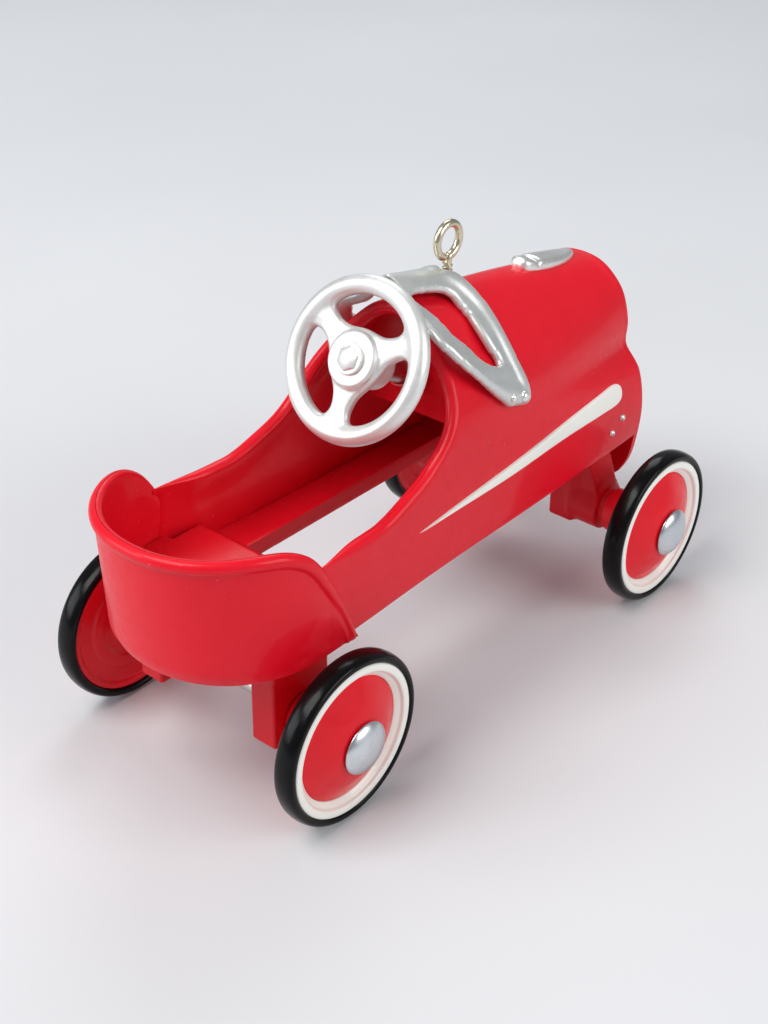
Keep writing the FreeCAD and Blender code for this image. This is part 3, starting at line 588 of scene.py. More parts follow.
# ---------------------------------------------------------------------------
# Body surface, in two coordinates: x, and `arc`, which counts the section's points
# from 0 at the bottom edge to CROWN on the centre line
# ---------------------------------------------------------------------------
# left half sections as (y, z), bottom to crown
SECTION_COWL = [
    (12, 18.6), (12.06, 21.6), (12.08, 24.59), (12.09, 27.66), (12.08, 30.5), (12.04, 32.93),
    (11.9, 35.16), (11.28, 37.49), (10.21, 39.6), (8.69, 41.69), (6.72, 43.79), (4.51, 45.94),
    (2.24, 47.36), (0, 47.93)]
SECTION_38 = [
    (11.89, 18.6), (11.97, 21.6), (12, 24.61), (11.98, 27.5), (11.87, 30.04), (11.66, 32.1),
    (11.32, 34.05), (10.75, 36.14), (9.7, 38.26), (8.09, 40.32), (6.2, 42.42), (4.17, 44.57),
    (2.13, 46.09), (0, 46.73)]
SECTION_48 = [
    (11.71, 18.6), (11.84, 21.6), (11.85, 24.58), (11.74, 27.27), (11.47, 29.57), (11.02, 31.35),
    (10.46, 33.06), (10.02, 35.08), (9.11, 37.29), (7.61, 39.35), (5.86, 41.34), (3.96, 43.31),
    (2.05, 44.7), (0, 45.28)]
SECTION_57 = [
    (11.49, 18.6), (11.68, 21.6), (11.65, 24.51), (11.42, 27.01), (10.95, 29.09), (10.21, 30.66),
    (9.41, 32.2), (9.16, 34.26), (8.47, 36.62), (7.22, 38.72), (5.68, 40.49), (3.85, 42.17),
    (2.01, 43.25), (0, 43.67)]
SECTION_NOSE = [
    (11.2, 18.6), (11.5, 21.6), (11.4, 24.4), (10.99, 26.69), (10.28, 28.57), (9.17, 29.96),
    (8.1, 31.35), (8.11, 33.58), (7.72, 36.2), (6.88, 38.43), (5.6, 40.03), (3.81, 41.41),
    (1.99, 42.1), (0.0, 42.3)]


def widened(section, extra):
    return [(y + extra * min(1.0, max(0.0, y / 12.0)), z) for y, z in section]


# (x, section) from the rear to the nose
STATIONS = [
    (0.0, widened(SECTION_COWL, 0.67)), (8.0, widened(SECTION_COWL, 0.63)),
    (17.0, widened(SECTION_COWL, 0.27)), (27.0, SECTION_COWL), (38.0, SECTION_38),
    (48.0, SECTION_48), (57.0, SECTION_57), (66.0, SECTION_NOSE)]
STATION_X = np.array([x for x, _ in STATIONS])
SECTIONS = np.array([section for _, section in STATIONS], float)
# four mirrored points past the crown keep the spline level there
SECTIONS = np.concatenate([SECTIONS, SECTIONS[:, -2:-6:-1] * np.array([-1, 1])], 1)
ARC_KNOTS = np.arange(SECTIONS.shape[1], dtype=float)
ARC_MATRIX = spline_matrix(ARC_KNOTS)
STATION_MATRIX = spline_matrix(STATION_X)
CROWN = 13.0


def body_yz(arc, x):
    arc, x = np.broadcast_arrays(np.asarray(arc, float), np.asarray(x, float))
    shape = arc.shape
    arc, x = arc.ravel(), x.ravel()
    out = []
    for k in range(2):
        values = np.stack([spline(ARC_KNOTS, ARC_MATRIX, section[:, k], arc)
                           for section in SECTIONS])
        out.append(spline(STATION_X, STATION_MATRIX, values, x).reshape(shape))
    return out


def body_point(arc, x):
    y, z = body_yz(arc, x)
    return np.stack([np.broadcast_to(x, y.shape), y, z], -1)


def body_normal(arc, x):
    nudge = 0.02
    around = body_point(arc + nudge, x) - body_point(arc - nudge, x)
    forward = body_point(arc, x + nudge) - body_point(arc, x - nudge)
    return face_toward(unit(np.cross(forward, around)), (0.0, 0.6, 0.4))


def search_arc(start, shape, too_low):
    """Bisects for the arc between start and the crown where too_low(arc) turns false."""
    low, high = np.full(shape, start), np.full(shape, CROWN)
    for _ in range(34):
        middle = (low + high) / 2
        short = too_low(middle)
        low, high = np.where(short, middle, low), np.where(short, high, middle)
    return (low + high) / 2


def arc_at_z(x, z):
    x, z = np.broadcast_arrays(np.asarray(x, float), np.asarray(z, float))
    return search_arc(0.0, x.shape, lambda arc: body_yz(arc, x)[1] < z)


# ---------------------------------------------------------------------------
# Body shell
# ---------------------------------------------------------------------------
WALL = 1.2
RIM_WALL = 1.85         # thickness of the rounded cockpit edge
SIDE_RIM_Z = 29.8       # level cockpit edge behind the first rim point
CORNER_X = 23.0         # where the side rows end and the cowl rows begin
# cockpit edge in side view: (x, z)
RIM = np.array([
    (12.0, 29.8), (14.0, 30.25), (16.0, 30.9), (18.0, 31.6), (20.0, 32.45), (22.0, 33.8),
    (24.0, 35.7), (25.6, 37.9), (26.7, 40.3), (27.4, 42.9), (27.8, 45.5), (28.0, 49.0)])
RIM_LINE = curve(RIM, 400)


def rim_z(x):
    return np.where(x < RIM[0, 0], SIDE_RIM_Z, np.interp(x, RIM_LINE[:, 0], RIM_LINE[:, 1]))


def rim_x(arc):
    """x where the cockpit edge crosses each arc, found by repeated halving steps."""
    x = np.full(len(arc), 26.0)
    for _ in range(40):
        x = 0.5 * x + 0.5 * np.interp(body_yz(arc, x)[1], RIM_LINE[:, 1], RIM_LINE[:, 0])
    return x


def near_edge(radius):
    """Stations that follow a rounded edge."""
    return radius * (1 - np.cos(np.linspace(0, math.pi / 2, 6)))


def stations(length, first, step, longest):
    """The given first stations, then growing steps that end exactly at length."""
    out = list(first)
    while out[-1] < length:
        out.append(out[-1] + step)
        step = min(step * 1.22, longest)
    out = np.array(out)
    later = out > first[-1]
    over = out[-1] - length
    out[later] -= over * (out[later] - first[-1]) / (out[-1] - first[-1])
    return out


def round_over(distance, radius):
    """How far a surface drops within one radius of its rounded edge."""
    drop = radius - np.sqrt(np.maximum(radius ** 2 - (radius - distance) ** 2, 0))
    return np.where(distance < radius, drop, 0.0)


def body_edges(corner_arc):
    """The rear and cockpit edge, and the bottom edge, as lines of points."""
    z = np.linspace(BASE_Z, SIDE_RIM_Z, 40)
    rear = np.full(40, BODY_REAR)
    x = np.linspace(BODY_REAR, CORNER_X, 120)
    arc = np.linspace(corner_arc, CROWN, 160)
    rim = np.vstack([body_point(arc_at_z(rear, z), rear),
                     body_point(arc_at_z(x, rim_z(x)), x)[1:],
                     body_point(arc, rim_x(arc))[1:]])
    return rim, body_point(np.zeros(90), np.linspace(BODY_REAR, BODY_FRONT, 90))


def body_skin(x, arc, rim_line, bottom_line):
    """Outer and inner faces of the wall, both rounded over at the free edges."""
    points = body_point(arc, x).reshape(-1, 3)
    normals = body_normal(arc, x).reshape(-1, 3)
    to_rim = line_distance(points, rim_line)
    to_bottom = line_distance(points, bottom_line)
    thin = 0.07 + 0.93 * smooth((points[:, 0] - BODY_REAR + 0.4) / 8.5)
    rise = smooth((points[:, 2] - 21.0) / 4.0)
    thick = (WALL + (RIM_WALL - WALL) * smooth(1 - to_rim / 4.5) * rise) * thin
    rim_radius = (WALL / 2 + (RIM_WALL / 2 - WALL / 2) * rise) * thin
    drop = np.maximum(round_over(to_rim, rim_radius), round_over(to_bottom, WALL / 2 * thin))
    thick = np.maximum(thick, 2 * drop)
    outer = points - normals * drop[:, None]
    inner = points - normals * (thick - drop)[:, None]
    # the last millimetre of the side wall turns out against the tub's inner face
    turn = 0.60 * (1 - smooth((points[:, 0] - BODY_REAR) / 1.6))
    turn = turn * smooth((29.4 - points[:, 2]) / 1.5)
    outer[:, 1] += turn
    inner[:, 1] += turn
    return outer, inner


def body_shell_mesh():
    corner_z = float(rim_z(np.array(CORNER_X)))
    corner_arc = float(arc_at_z(np.array(CORNER_X), np.array(corner_z)))
    height = corner_z - BASE_Z
    rim_stations = near_edge(RIM_WALL / 2)
    # rows below the corner point, as fractions of the height
    rows = 1 - stations(height, rim_stations, 0.28, 0.75)[::-1] / height
    low = near_edge(0.55)[1:-1] / height
    rows = np.unique(np.round(np.r_[rows[rows < 1e-9], low, rows[rows > low[-1] + 0.02]], 6))
    # side wall below the cockpit edge
    x = np.linspace(BODY_REAR, CORNER_X, 30)
    x = np.unique(np.r_[BODY_REAR + near_edge(0.6), x[1:]])
    side_x, share = np.meshgrid(x, rows)
    side_arc = arc_at_z(side_x, BASE_Z + share * (rim_z(side_x) - BASE_Z))
    # forward of the corner, rows up to the crown
    upper = np.linspace(corner_arc, CROWN, 46)[1:]
    length = BODY_FRONT - CORNER_X
    columns = stations(length, rim_stations, 0.26, 0.85) / length
    start = np.r_[np.full(len(rows), CORNER_X), rim_x(upper)]
    front_x = start[:, None] + columns[None, :] * (BODY_FRONT - start[:, None])
    front_arc = np.zeros_like(front_x)
    corner_line = body_yz(np.full(len(columns), corner_arc), front_x[0])[1]
    last = len(rows) - 1
    for i in range(last):
        front_arc[i] = arc_at_z(front_x[i], BASE_Z + rows[i] * (corner_line - BASE_Z))
    front_arc[last] = corner_arc
    front_arc[last + 1:] = upper[:, None]

    edges = body_edges(corner_arc)
    points, faces = [], []
    base = 0
    for x, arc, is_front in ((side_x, side_arc, False), (front_x, front_arc, True)):
        outer, inner = body_skin(x, arc, *edges)
        row_count, column_count = x.shape
        size = row_count * column_count
        for side in (1, -1):
            mirror = np.array([1, side, 1])
            points += [outer * mirror, inner * mirror]
            faces.append(grid_faces(row_count, column_count, base, flip=side < 0))
            faces.append(grid_faces(row_count, column_count, base + size, flip=side > 0))
            if is_front:
                end = base + np.arange(row_count) * column_count + column_count - 1
                faces.append(strip_faces(end, end + size, flip=side < 0))
            base += 2 * size
    return np.vstack(points), np.vstack(faces)


body_shell = piece("body_shell_panel", body_shell_mesh(), RED, "body_shell", angle=50,
                   merge=0.006)


# ---------------------------------------------------------------------------
# Nose panel
# ---------------------------------------------------------------------------
NOSE_EDGE = 1.15        # radius round the front face
NOSE_CENTRE = np.array([0.0, 27.5])
# (y, z) below the nose section, then round the bottom corner
NOSE_SIDE = [(9.2, 12.55), (10.1, 14.1), (10.75, 16.0)]
NOSE_CORNER = [(7.3, 11.8), (8.1, 11.9), (8.75, 12.15), (9.2, 12.55)]


def nose_loop():
    bottom = np.stack([np.linspace(0, 7.3, 12), np.full(12, 11.8)], 1)[:-1]
    half = np.vstack([bottom, curve(NOSE_CORNER, 10)[:-1], curve(NOSE_SIDE + SECTION_NOSE, 110)])
    return np.vstack([half, half[1:-1][::-1] * np.array([-1, 1])])


def inset_loop(loop, distance):
    tangent = unit(np.roll(loop, -1, 0) - np.roll(loop, 1, 0))
    return loop - distance * np.stack([tangent[:, 1], -tangent[:, 0]], 1)


def nose_mesh():
    loop = nose_loop()
    rings = [(BODY_FRONT, loop), (66.1, loop)]
    for degrees in np.linspace(0, 90, 9)[1:]:
        angle = math.radians(degrees)
        rings.append((NOSE_FRONT - NOSE_EDGE + NOSE_EDGE * math.sin(angle),
                      inset_loop(loop, NOSE_EDGE * (1 - math.cos(angle)))))
    face = inset_loop(loop, NOSE_EDGE)
    for share in np.linspace(1, 0, 16)[1:]:
        rings.append((NOSE_FRONT, NOSE_CENTRE + (face - NOSE_CENTRE) * share))
    for share in np.linspace(0, 1, 12):
        rings.append((BODY_FRONT, NOSE_CENTRE + (loop - NOSE_CENTRE) * share))
    points = [np.c_[np.full(len(ring), x), ring] for x, ring in rings]
    return np.vstack(points), grid_faces(len(rings), len(loop), wrap_columns=True)


piece("nose_panel_casting", nose_mesh(), RED, "nose_panel", angle=45, merge=0.004)


# ---------------------------------------------------------------------------
# Rear tub with its rolled edge: a superellipse in plan, straight forward of its centre
# ---------------------------------------------------------------------------
TUB_X = 1.1             # centre of the plan
TUB_LENGTH, TUB_WIDTH = 14.2, 13.75     # half axes at the bottom
TUB_TAPER = 0.078       # growth of the length per millimetre of height
TUB_POWER = 2.12
TUB_WALL = 0.9
BEAD_RADIUS = 0.88
BEAD_LIFT = 0.85
BOTTOM_ROUND = 0.35
TUB_ROWS = 17.2         # drop over which the rows are spread
# top edge in side view: (x, z)
TUB_EDGE = np.array([
    (-17.0, 34.15), (-12.0, 34.13), (-8.0, 34.05), (-5.4, 33.82), (-3.5, 33.28), (-1.8, 32.28),
    (0.0, 30.65), (1.6, 28.8), (3.1, 26.5), (4.5, 23.8), (5.6, 21.1), (6.6, 18.3)])


def tub_xy(turn, z):
    """turn: 0 (left) to pi (right) round the back; beyond, millimetres straight forward."""
    length = TUB_LENGTH + TUB_TAPER * (z - BASE_Z)
    angle = np.clip(turn, 0, math.pi)
    cosine, sine = np.cos(angle), np.sin(angle)
    sign = np.sign(np.where(np.abs(cosine) < 1e-12, 0, cosine))
    y = TUB_WIDTH * np.abs(cosine) ** (2 / TUB_POWER) * sign
    x = TUB_X - length * np.abs(sine) ** (2 / TUB_POWER)
    x = x + np.where(turn < 0, -turn, 0) + np.where(turn > math.pi, turn - math.pi, 0)
    return x, y


def tub_turns(edge):
    """Columns round the tub, denser near the ends where the superellipse turns quickly."""
    angle = np.linspace(0, math.pi, 121)
    angle = math.pi * (0.5 - 0.5 * np.cos(angle)) * 0.35 + angle * 0.65
    end_x = float(np.interp(-19.3, -edge[:, 1], edge[:, 0]))
    ahead = np.linspace(0, end_x - TUB_X, 26)[1:]
    return np.r_[-ahead[::-1], angle, math.pi + ahead]


def tub_boundary(edge):
    """Side view edge lifted along its own normal by the bead."""
    edge = edge[::4]
    tangent = unit(np.gradient(edge, axis=0))
    normal = face_toward(np.stack([-tangent[:, 1], tangent[:, 0]], 1), (0.0, 1.0))
    lift = BEAD_LIFT * (1 - smooth((edge[:, 0] + 1.5) / 5.0))
    line = edge + normal * lift[:, None]
    return line[np.r_[True, np.diff(line[:, 0]) > 1e-4]]


def tub_rows(top, upright):
    """Heights of every row: close together round the bead, then down to the bottom."""
    bead = np.r_[0.85 * (1 - np.cos(np.linspace(0, math.pi, 13))) * 0.93, 1.72]
    height = top - BASE_Z
    rows = []
    for down in stations(TUB_ROWS, bead, 0.18, 0.8)[:-1]:
        limit = height * (down / TUB_ROWS) ** 0.8 if down > 2.0 else height
        z = top - np.minimum(down / upright, limit)
        rows.append(np.where(down / upright > height, BASE_Z, z))
    rows.append(np.full(len(top), BASE_Z))
    return np.minimum.accumulate(np.array(rows), 0)


def tub_skin(turns, z, rim_line):
    """Outer and inner points of one row of the wall."""
    x, y = tub_xy(turns, z)
    points = np.stack([x, y, z], 1)
    x1, y1 = tub_xy(turns + 1e-3, z)
    x2, y2 = tub_xy(turns - 1e-3, z)
    tangent = unit(np.stack([x1 - x2, y1 - y2], 1))
    zeros = np.zeros(len(turns))
    normals = face_toward(np.stack([tangent[:, 1], -tangent[:, 0], zeros], 1),
                          np.stack([x - TUB_X, y, zeros], 1))
    to_rim = line_distance(points, rim_line)
    to_bottom = z - BASE_Z
    half = TUB_WALL / 2
    radius = half + (BEAD_RADIUS - half) * (1 - 0.72 * smooth((x + 0.2) / 5.0))
    round_part = np.maximum(radius ** 2 - (to_rim - radius) ** 2, 0)
    bead = np.where(to_rim < 2 * radius, np.sqrt(round_part), 0.0)
    outward = np.where(to_rim < radius, np.minimum(bead, radius), soft_max(bead, half, 0.16))
    fade = half ** 2 - (BOTTOM_ROUND - to_bottom) ** 2 * (half / BOTTOM_ROUND) ** 2
    rounded = np.minimum(outward, np.sqrt(np.maximum(fade, 0.0)))
    outward = np.where(to_bottom < BOTTOM_ROUND, rounded, outward)
    inward = np.where(to_rim < radius, soft_min(outward, half + 0.14, 0.30),
                      half + 0.14 * (1 - smooth((to_rim - radius) / 3.2)))
    inward = np.minimum(inward, np.where(to_bottom < BOTTOM_ROUND, outward, inward))
    middle = points - normals * half
    return middle + normals * outward[:, None], middle - normals * inward[:, None]


def tub_mesh():
    edge = curve(TUB_EDGE, 500)
    turns = tub_turns(edge)
    bound = tub_boundary(edge)
    top = np.full(len(turns), 35.0)
    for _ in range(30):
        x, y = tub_xy(turns, top)
        edge_z = np.interp(x, bound[:, 0], bound[:, 1])
        top = 0.5 * top + 0.5 * np.maximum(edge_z, 18.62)
    line = np.stack([*tub_xy(turns, top), top], 1)
    slope = np.interp(line[:, 0], bound[:, 0], np.gradient(bound[:, 1], bound[:, 0]))
    rim_line = resample(line, 900)
    rows = tub_rows(top, 1 / np.sqrt(1 + slope ** 2))
    skins = [tub_skin(turns, z, rim_line) for z in rows]
    points = np.vstack([outer for outer, _ in skins] + [inner for _, inner in skins])
    row_count, column_count = rows.shape
    size = row_count * column_count
    bottom = np.arange(column_count) + (row_count - 1) * column_count
    faces = [grid_faces(row_count, column_count), grid_faces(row_count, column_count, size, True),
             strip_faces(bottom, bottom + size)]
    for column, flip in ((0, False), (column_count - 1, True)):
        end = np.arange(row_count) * column_count + column
        faces.append(strip_faces(end, end + size, flip))
    return points, np.vstack(faces)


piece("rear_tub_casting", tub_mesh(), RED, "rear_tub", angle=60, merge=0.01)


# ---------------------------------------------------------------------------
# Seat, chassis and axle carriers, with soft edges
# ---------------------------------------------------------------------------
TUB_INSET = 0.97        # from the tub's outside to the plates inside it
PLATE_SIDE = 11.55      # half width of the plates forward of the tub
CARRIER_TOP = 18.58
AXLE_LINE = ((0, 0, AXLE_Z), (0, 1, 0))
AXLE_BORE = 1.03
SEAT_PROFILE = np.array([       # (x, z): the pan, turned down at its front
    (-20, 22.0), (6.2, 22.0), (8.3, 20.6), (8.9, 21.1), (6.6, 23.0), (-20, 23.0)], float)
CHASSIS_SIDES = (               # x, half width of the side bars
    [8, 17, 27, 38, 48, 57, 66],
    [11.5, 11.0, 10.75, 10.62, 10.45, 10.25, 10.0])


def inside_tub(points):
    """Rough distance, negative inside the tub's plan."""
    length = TUB_LENGTH + TUB_TAPER * (points[:, 2] - BASE_Z) - TUB_INSET
    width = TUB_WIDTH - TUB_INSET
    x = np.minimum(points[:, 0] - TUB_X, 0)
    reach = np.abs(x / length) ** TUB_POWER + np.abs(points[:, 1] / width) ** TUB_POWER
    return (reach ** (1 / TUB_POWER) - 1) * np.minimum(length, width) * 0.98


def seat_field(points):
    x, y, z = points.T
    pan = polygon_distance(points[:, [0, 2]], SEAT_PROFILE)
    dish = 0.22 * np.exp(-((x + 3.5) / 6.0) ** 2 - (y / 7.0) ** 2)
    side = np.abs(y) - np.where(x > 2.4, PLATE_SIDE, 40.0)
    return soft_max(soft_max(pan + dish * (z > 22.4), inside_tub(points), 0.12), side, 0.2)


def chassis_field(points):
    x, y = points[:, 0], np.abs(points[:, 1])
    plate = round_box(points, low=(-20, -30, BASE_Z), high=(9.0, 30, 20.6), edge=0.15)
    plate = soft_max(plate, inside_tub(points), 0.12)
    plate = soft_max(plate, np.where(x > 2.3, y - PLATE_SIDE, -1.0), 0.1)
    bars = round_box(points, low=(8.0, -12.5, BASE_Z), high=(BODY_FRONT - 0.02, 12.5, 20.9),
                     edge=0.18)
    bars = soft_max(bars, y - np.interp(x, *CHASSIS_SIDES), 0.1)
    hole = round_box(points, low=(9.0, -6.2, 10), high=(55.5, 6.2, 30), edge=0.3)
    return soft_max(soft_min(plate, bars, 0.15), -hole, 0.25)


def drilled(field, points):
    """Opens the axle hole through a carrier."""
    return soft_max(field, -rod(points, *AXLE_LINE, AXLE_BORE, -40, 40), 0.12)


def rear_carrier_field(points):
    near = points.copy()
    near[:, 1] = np.abs(near[:, 1])
    plate = round_box(near, low=(-4.45, -11.0, 17.2), high=(4.45, 11.0, CARRIER_TOP), edge=0.25)
    leg = round_box(near, low=(-4.45, 7.3, 7.6), high=(4.45, 11.0, 18.2), edge=0.42)
    return drilled(soft_min(plate, leg, 0.45), near)


def front_carrier_field(points):
    near = points.copy()
    near[:, 0] -= FRONT_AXLE_X
    near[:, 1] = np.abs(near[:, 1])
    x, y, z = near.T
    plate = round_box(near, low=(-3.6, -7.8, 17.2), high=(3.6, 7.8, CARRIER_TOP), edge=0.25)
    leg = round_box(near, low=(-2.9, 4.0, 7.7), high=(2.9, 7.8, 18.2), edge=0.45)
    field = soft_min(plate, leg, 0.5)
    housing = rod(near, *AXLE_LINE, 3.25, 7.0, 11.7, edge=0.35)
    field = soft_min(field, housing, 0.7)
    # sloping shoulder above the housing
    slope = ((y - 9.3) * 5.2 + (z - 18.6) * 1.9) / math.hypot(5.2, 1.9)
    shoulder = np.maximum.reduce([np.abs(x) - 2.4, slope, 12.0 - z, z - 18.55, y - 11.2, 7.0 - y])
    field = soft_min(field, shoulder, 0.9)
    neck = rod(near, *AXLE_LINE, 2.55, 11.0, 12.55, edge=0.1)
    return drilled(soft_min(field, neck, 0.12), near)


piece("seat_pan_casting", solid(seat_field, (-15.2, -13.4, 20.2), (9.4, 13.4, 23.6), 0.22),
      RED_FRAME_SHADED, "seat_pan", angle=50, merge=0.001)
piece("chassis_casting", solid(chassis_field, (-15.2, -13.4, 18.2), (66.2, 13.4, 21.4), 0.30),
      RED_FRAME_SHADED, "chassis_frame", angle=50, merge=0.001)
piece("rear_carrier_casting",
      solid(rear_carrier_field, (-5.0, -11.6, 7.0), (5.0, 11.6, 19.1), 0.20),
      RED_FRAME_SHADED, "rear_axle_carrier", angle=60, merge=0.001)
piece("front_carrier_casting",
      solid(front_carrier_field, (FRONT_AXLE_X - 4.4, -13.0, 6.8),
            (FRONT_AXLE_X + 4.4, 13.0, 19.1), 0.20),
      RED_FRAME_SHADED, "front_axle_carrier", angle=60, merge=0.001)


# ---------------------------------------------------------------------------
# Wheels.  Profiles are (radius, distance outward from the wheel plane).
# ---------------------------------------------------------------------------
DISC_FACE = 2.75        # how far the disc stands out at its centre
CAP_GAP = 0.06
BOSS_END = {"rear": 11.08, "front": 12.63}      # inner end of the boss, from the centre line
TYRE_CURVE = [
    (9.31, -1.02), (9.50, -1.24), (9.78, -1.37), (10.05, -1.33), (10.27, -1.12), (10.41, -0.78),
    (10.48, -0.40), (10.5, -0.10), (10.5, 0.10), (10.48, 0.40), (10.41, 0.78), (10.27, 1.12),
    (10.05, 1.33), (9.78, 1.37), (9.50, 1.30), (9.37, 1.13)]
BAND_CURVE = [          # flat face, small step, sloping inner band
    (9.36, 1.02), (9.34, 1.16), (9.24, 1.26), (9.05, 1.31), (8.80, 1.32), (8.56, 1.30),
    (8.40, 1.21), (8.31, 1.05), (8.24, 0.90), (8.14, 0.80), (7.98, 0.70), (7.80, 0.56),
    (7.62, 0.42)]
DISC_DOME = [
    (1.06, DISC_FACE), (2.2, 2.66), (3.4, 2.35), (4.6, 1.86), (5.8, 1.26), (6.9, 0.68),
    (7.35, 0.45), (7.52, 0.34), (7.585, 0.22)]
DISC_STEPS = [          # third column: corner radius
    (7.59, -0.2, 0), (9.29, -0.2, 0), (9.29, -1.03, 0.14), (8.75, -1.03, 0.16),
    (8.35, -0.62, 0.14), (6.6, -0.62, 0.12), (6.3, -0.9, 0.14), (5.0, -0.9, 0.14),
    (4.6, -0.55, 0.14), (3.45, -0.55, 0.18), (3.0, -0.95, 0.25)]
CAP_DOME = [            # measured from the cap's seat
    (0.0, 1.10), (0.6, 1.09), (1.2, 1.03), (1.8, 0.88), (2.35, 0.66), (2.8, 0.40), (3.08, 0.16),
    (3.18, 0.02)]
CAP_BACK = [
    (3.19, -0.05), (3.10, -0.09), (2.95, -0.08), (2.8, 0.0), (1.0, 0.0), (1.0, 0.50), (0.0, 0.50)]

TYRE = np.vstack([curve(TYRE_CURVE, 44), [(9.37, -0.1), (9.31, -0.2)]])
BAND = np.vstack([curve(BAND_CURVE, 40), [(7.60, 0.36), (7.60, -0.2), (9.35, -0.2)]])
CAP = np.vstack([curve(CAP_DOME, 38), CAP_BACK])


def disc_profile(boss):
    """Domed outside, stepped inside, with a boss that reaches inward."""
    steps = fillet(DISC_STEPS + [(3.0, -boss, 0.22), (1.05, -boss, 0)])
    return np.vstack([curve(DISC_DOME, 40), steps])


def wheel(tag):
    plane = box_middle("tyre_" + tag).y * 1000.0
    reach = abs(plane)
    axle = tag.split("_")[0]
    x = 0.0 if axle == "rear" else FRONT_AXLE_X

    def turned(profile, out, segments=128):
        return lathe(profile + np.array([0.0, out]), (x, 0, AXLE_Z),
                     (0, 1 if plane > 0 else -1, 0), segments)

    body = "wheel_" + tag
    piece("tyre_ring_" + tag, turned(TYRE, reach), BLACK, "tyre_" + tag, angle=50, body=body)
    piece("white_band_" + tag, turned(BAND, reach), CREAM, "white_ring_" + tag, angle=50,
          body=body)
    piece("red_disc_" + tag, turned(disc_profile(reach - BOSS_END[axle]), reach), RED_WHEEL,
          "wheel_disc_" + tag, angle=40, body=body)
    cap_metal = bare_metal("hub_cap_steel_" + tag, "bright_steel", base=(0.70, 0.73, 0.76),
                           dark=(0.60, 0.63, 0.67), rough=0.27,
                           centre=(REAR_AXLE_X + x * MM, 0, AXLE_Z * MM))
    piece("hub_dome_" + tag, turned(CAP, reach + (DISC_FACE + CAP_GAP), segments=96), cap_metal,
          "hub_cap_" + tag, angle=45)


for tag in ("rear_right", "rear_left", "front_right", "front_left"):
    wheel(tag)


# ---------------------------------------------------------------------------
# Steering wheel, in its own axes: x to the left, y up the wheel, z back along the column
# ---------------------------------------------------------------------------
STEER_CENTRE = np.array([21.44, 0.0, 42.80])
STEER_TILT = math.radians(28.28)
STEER_AXES = np.array([         # columns: left, up, back
    [0.0, math.sin(STEER_TILT), -math.cos(STEER_TILT)],
    [1.0, 0.0, 0.0],
    [0.0, math.cos(STEER_TILT), math.sin(STEER_TILT)]])
STEER_TUBE = 1.14       # radius of the rim's section
STEER_RADIUS = 9.92 - STEER_TUBE
WEB_HALF, WEB_EDGE = 0.62, 0.50
Z_LINE = ((0, 0, 0), (0, 0, 1))
# one of the three kidney openings: (radius, degrees from its middle)
OPENING = [
    (7.75, -36), (7.85, -20), (7.85, 0), (7.85, 20), (7.75, 36), (7.3, 45.0), (6.4, 47.5),
    (5.4, 45.0), (4.55, 38.5), (3.95, 25.0), (3.75, 0), (3.95, -25), (4.55, -38.5), (5.4, -45.0),
    (6.4, -47.5), (7.3, -45.0)]


def opening_grid():
    """Distance to the openings every 0.05 mm over the wheel, negative inside them."""
    outline = curve([(radius * math.cos(math.radians(90 + angle)),
                      radius * math.sin(math.radians(90 + angle))) for radius, angle in OPENING],
                    120, closed=True)
    ticks = np.linspace(-10, 10, 401)
    x, y = (axis.ravel() for axis in np.meshgrid(ticks, ticks, indexing="ij"))
    # fold the plane into the third that holds the opening at 90 degrees
    angle = np.radians(90 + ((np.degrees(np.arctan2(y, x)) - 90 + 60) % 120 - 60))
    radius = np.hypot(x, y)
    folded = np.stack([radius * np.cos(angle), radius * np.sin(angle)], 1)
    return polygon_distance(folded, outline).reshape(401, 401)


OPENING_GRID = opening_grid()


def opening_distance(x, y):
    column = np.clip((x + 10) / 0.05, 0, 399.999)
    row = np.clip((y + 10) / 0.05, 0, 399.999)
    i, j = column.astype(int), row.astype(int)
    a, b = column - i, row - j
    return (OPENING_GRID[i, j] * (1 - a) * (1 - b) + OPENING_GRID[i + 1, j] * a * (1 - b)
            + OPENING_GRID[i, j + 1] * (1 - a) * b + OPENING_GRID[i + 1, j + 1] * a * b)


def rim_distance(radius, z):
    return np.hypot(radius - STEER_RADIUS, z) - STEER_TUBE


def steering_wheel_field(points):
    x, y, z = points.T
    radius = np.hypot(x, y)
    # web: slightly crowned spokes, sides rounded into the openings
    opening = opening_distance(x, y)
    crown = 0.16 * np.clip(opening, 0, 1.2)
    middle = -0.30 + 0.30 * smooth((radius - 5.5) / 3.0)
    side = -opening + WEB_EDGE
    above = np.abs(z - middle) - (WEB_HALF - WEB_EDGE) - crown * (z > middle)
    web = (np.sqrt(np.maximum(side, 0) ** 2 + np.maximum(above, 0) ** 2)
           + np.minimum(np.maximum(side, above), 0) - WEB_EDGE)
    web = soft_max(web, radius - STEER_RADIUS, 0.3)
    field = soft_min(rim_distance(radius, z), web, 0.55)
    # raised round hub with a soft edge, joined to a shallow dome
    hub = rod(points, *Z_LINE, 3.35, -0.6, 1.12, edge=0.42)
    dome = np.maximum(np.hypot(radius, z + 8.6) - 9.86, radius - 3.0)
    field = soft_min(field, soft_min(hub, dome, 0.2), 0.42)
    # socket in front of the hub
    field = soft_min(field, rod(points, *Z_LINE, 2.7, -3.3, -0.5, edge=0.35), 0.5)
    return soft_max(field, -rod(points, *Z_LINE, 1.52, -4.0, -0.9), 0.1)


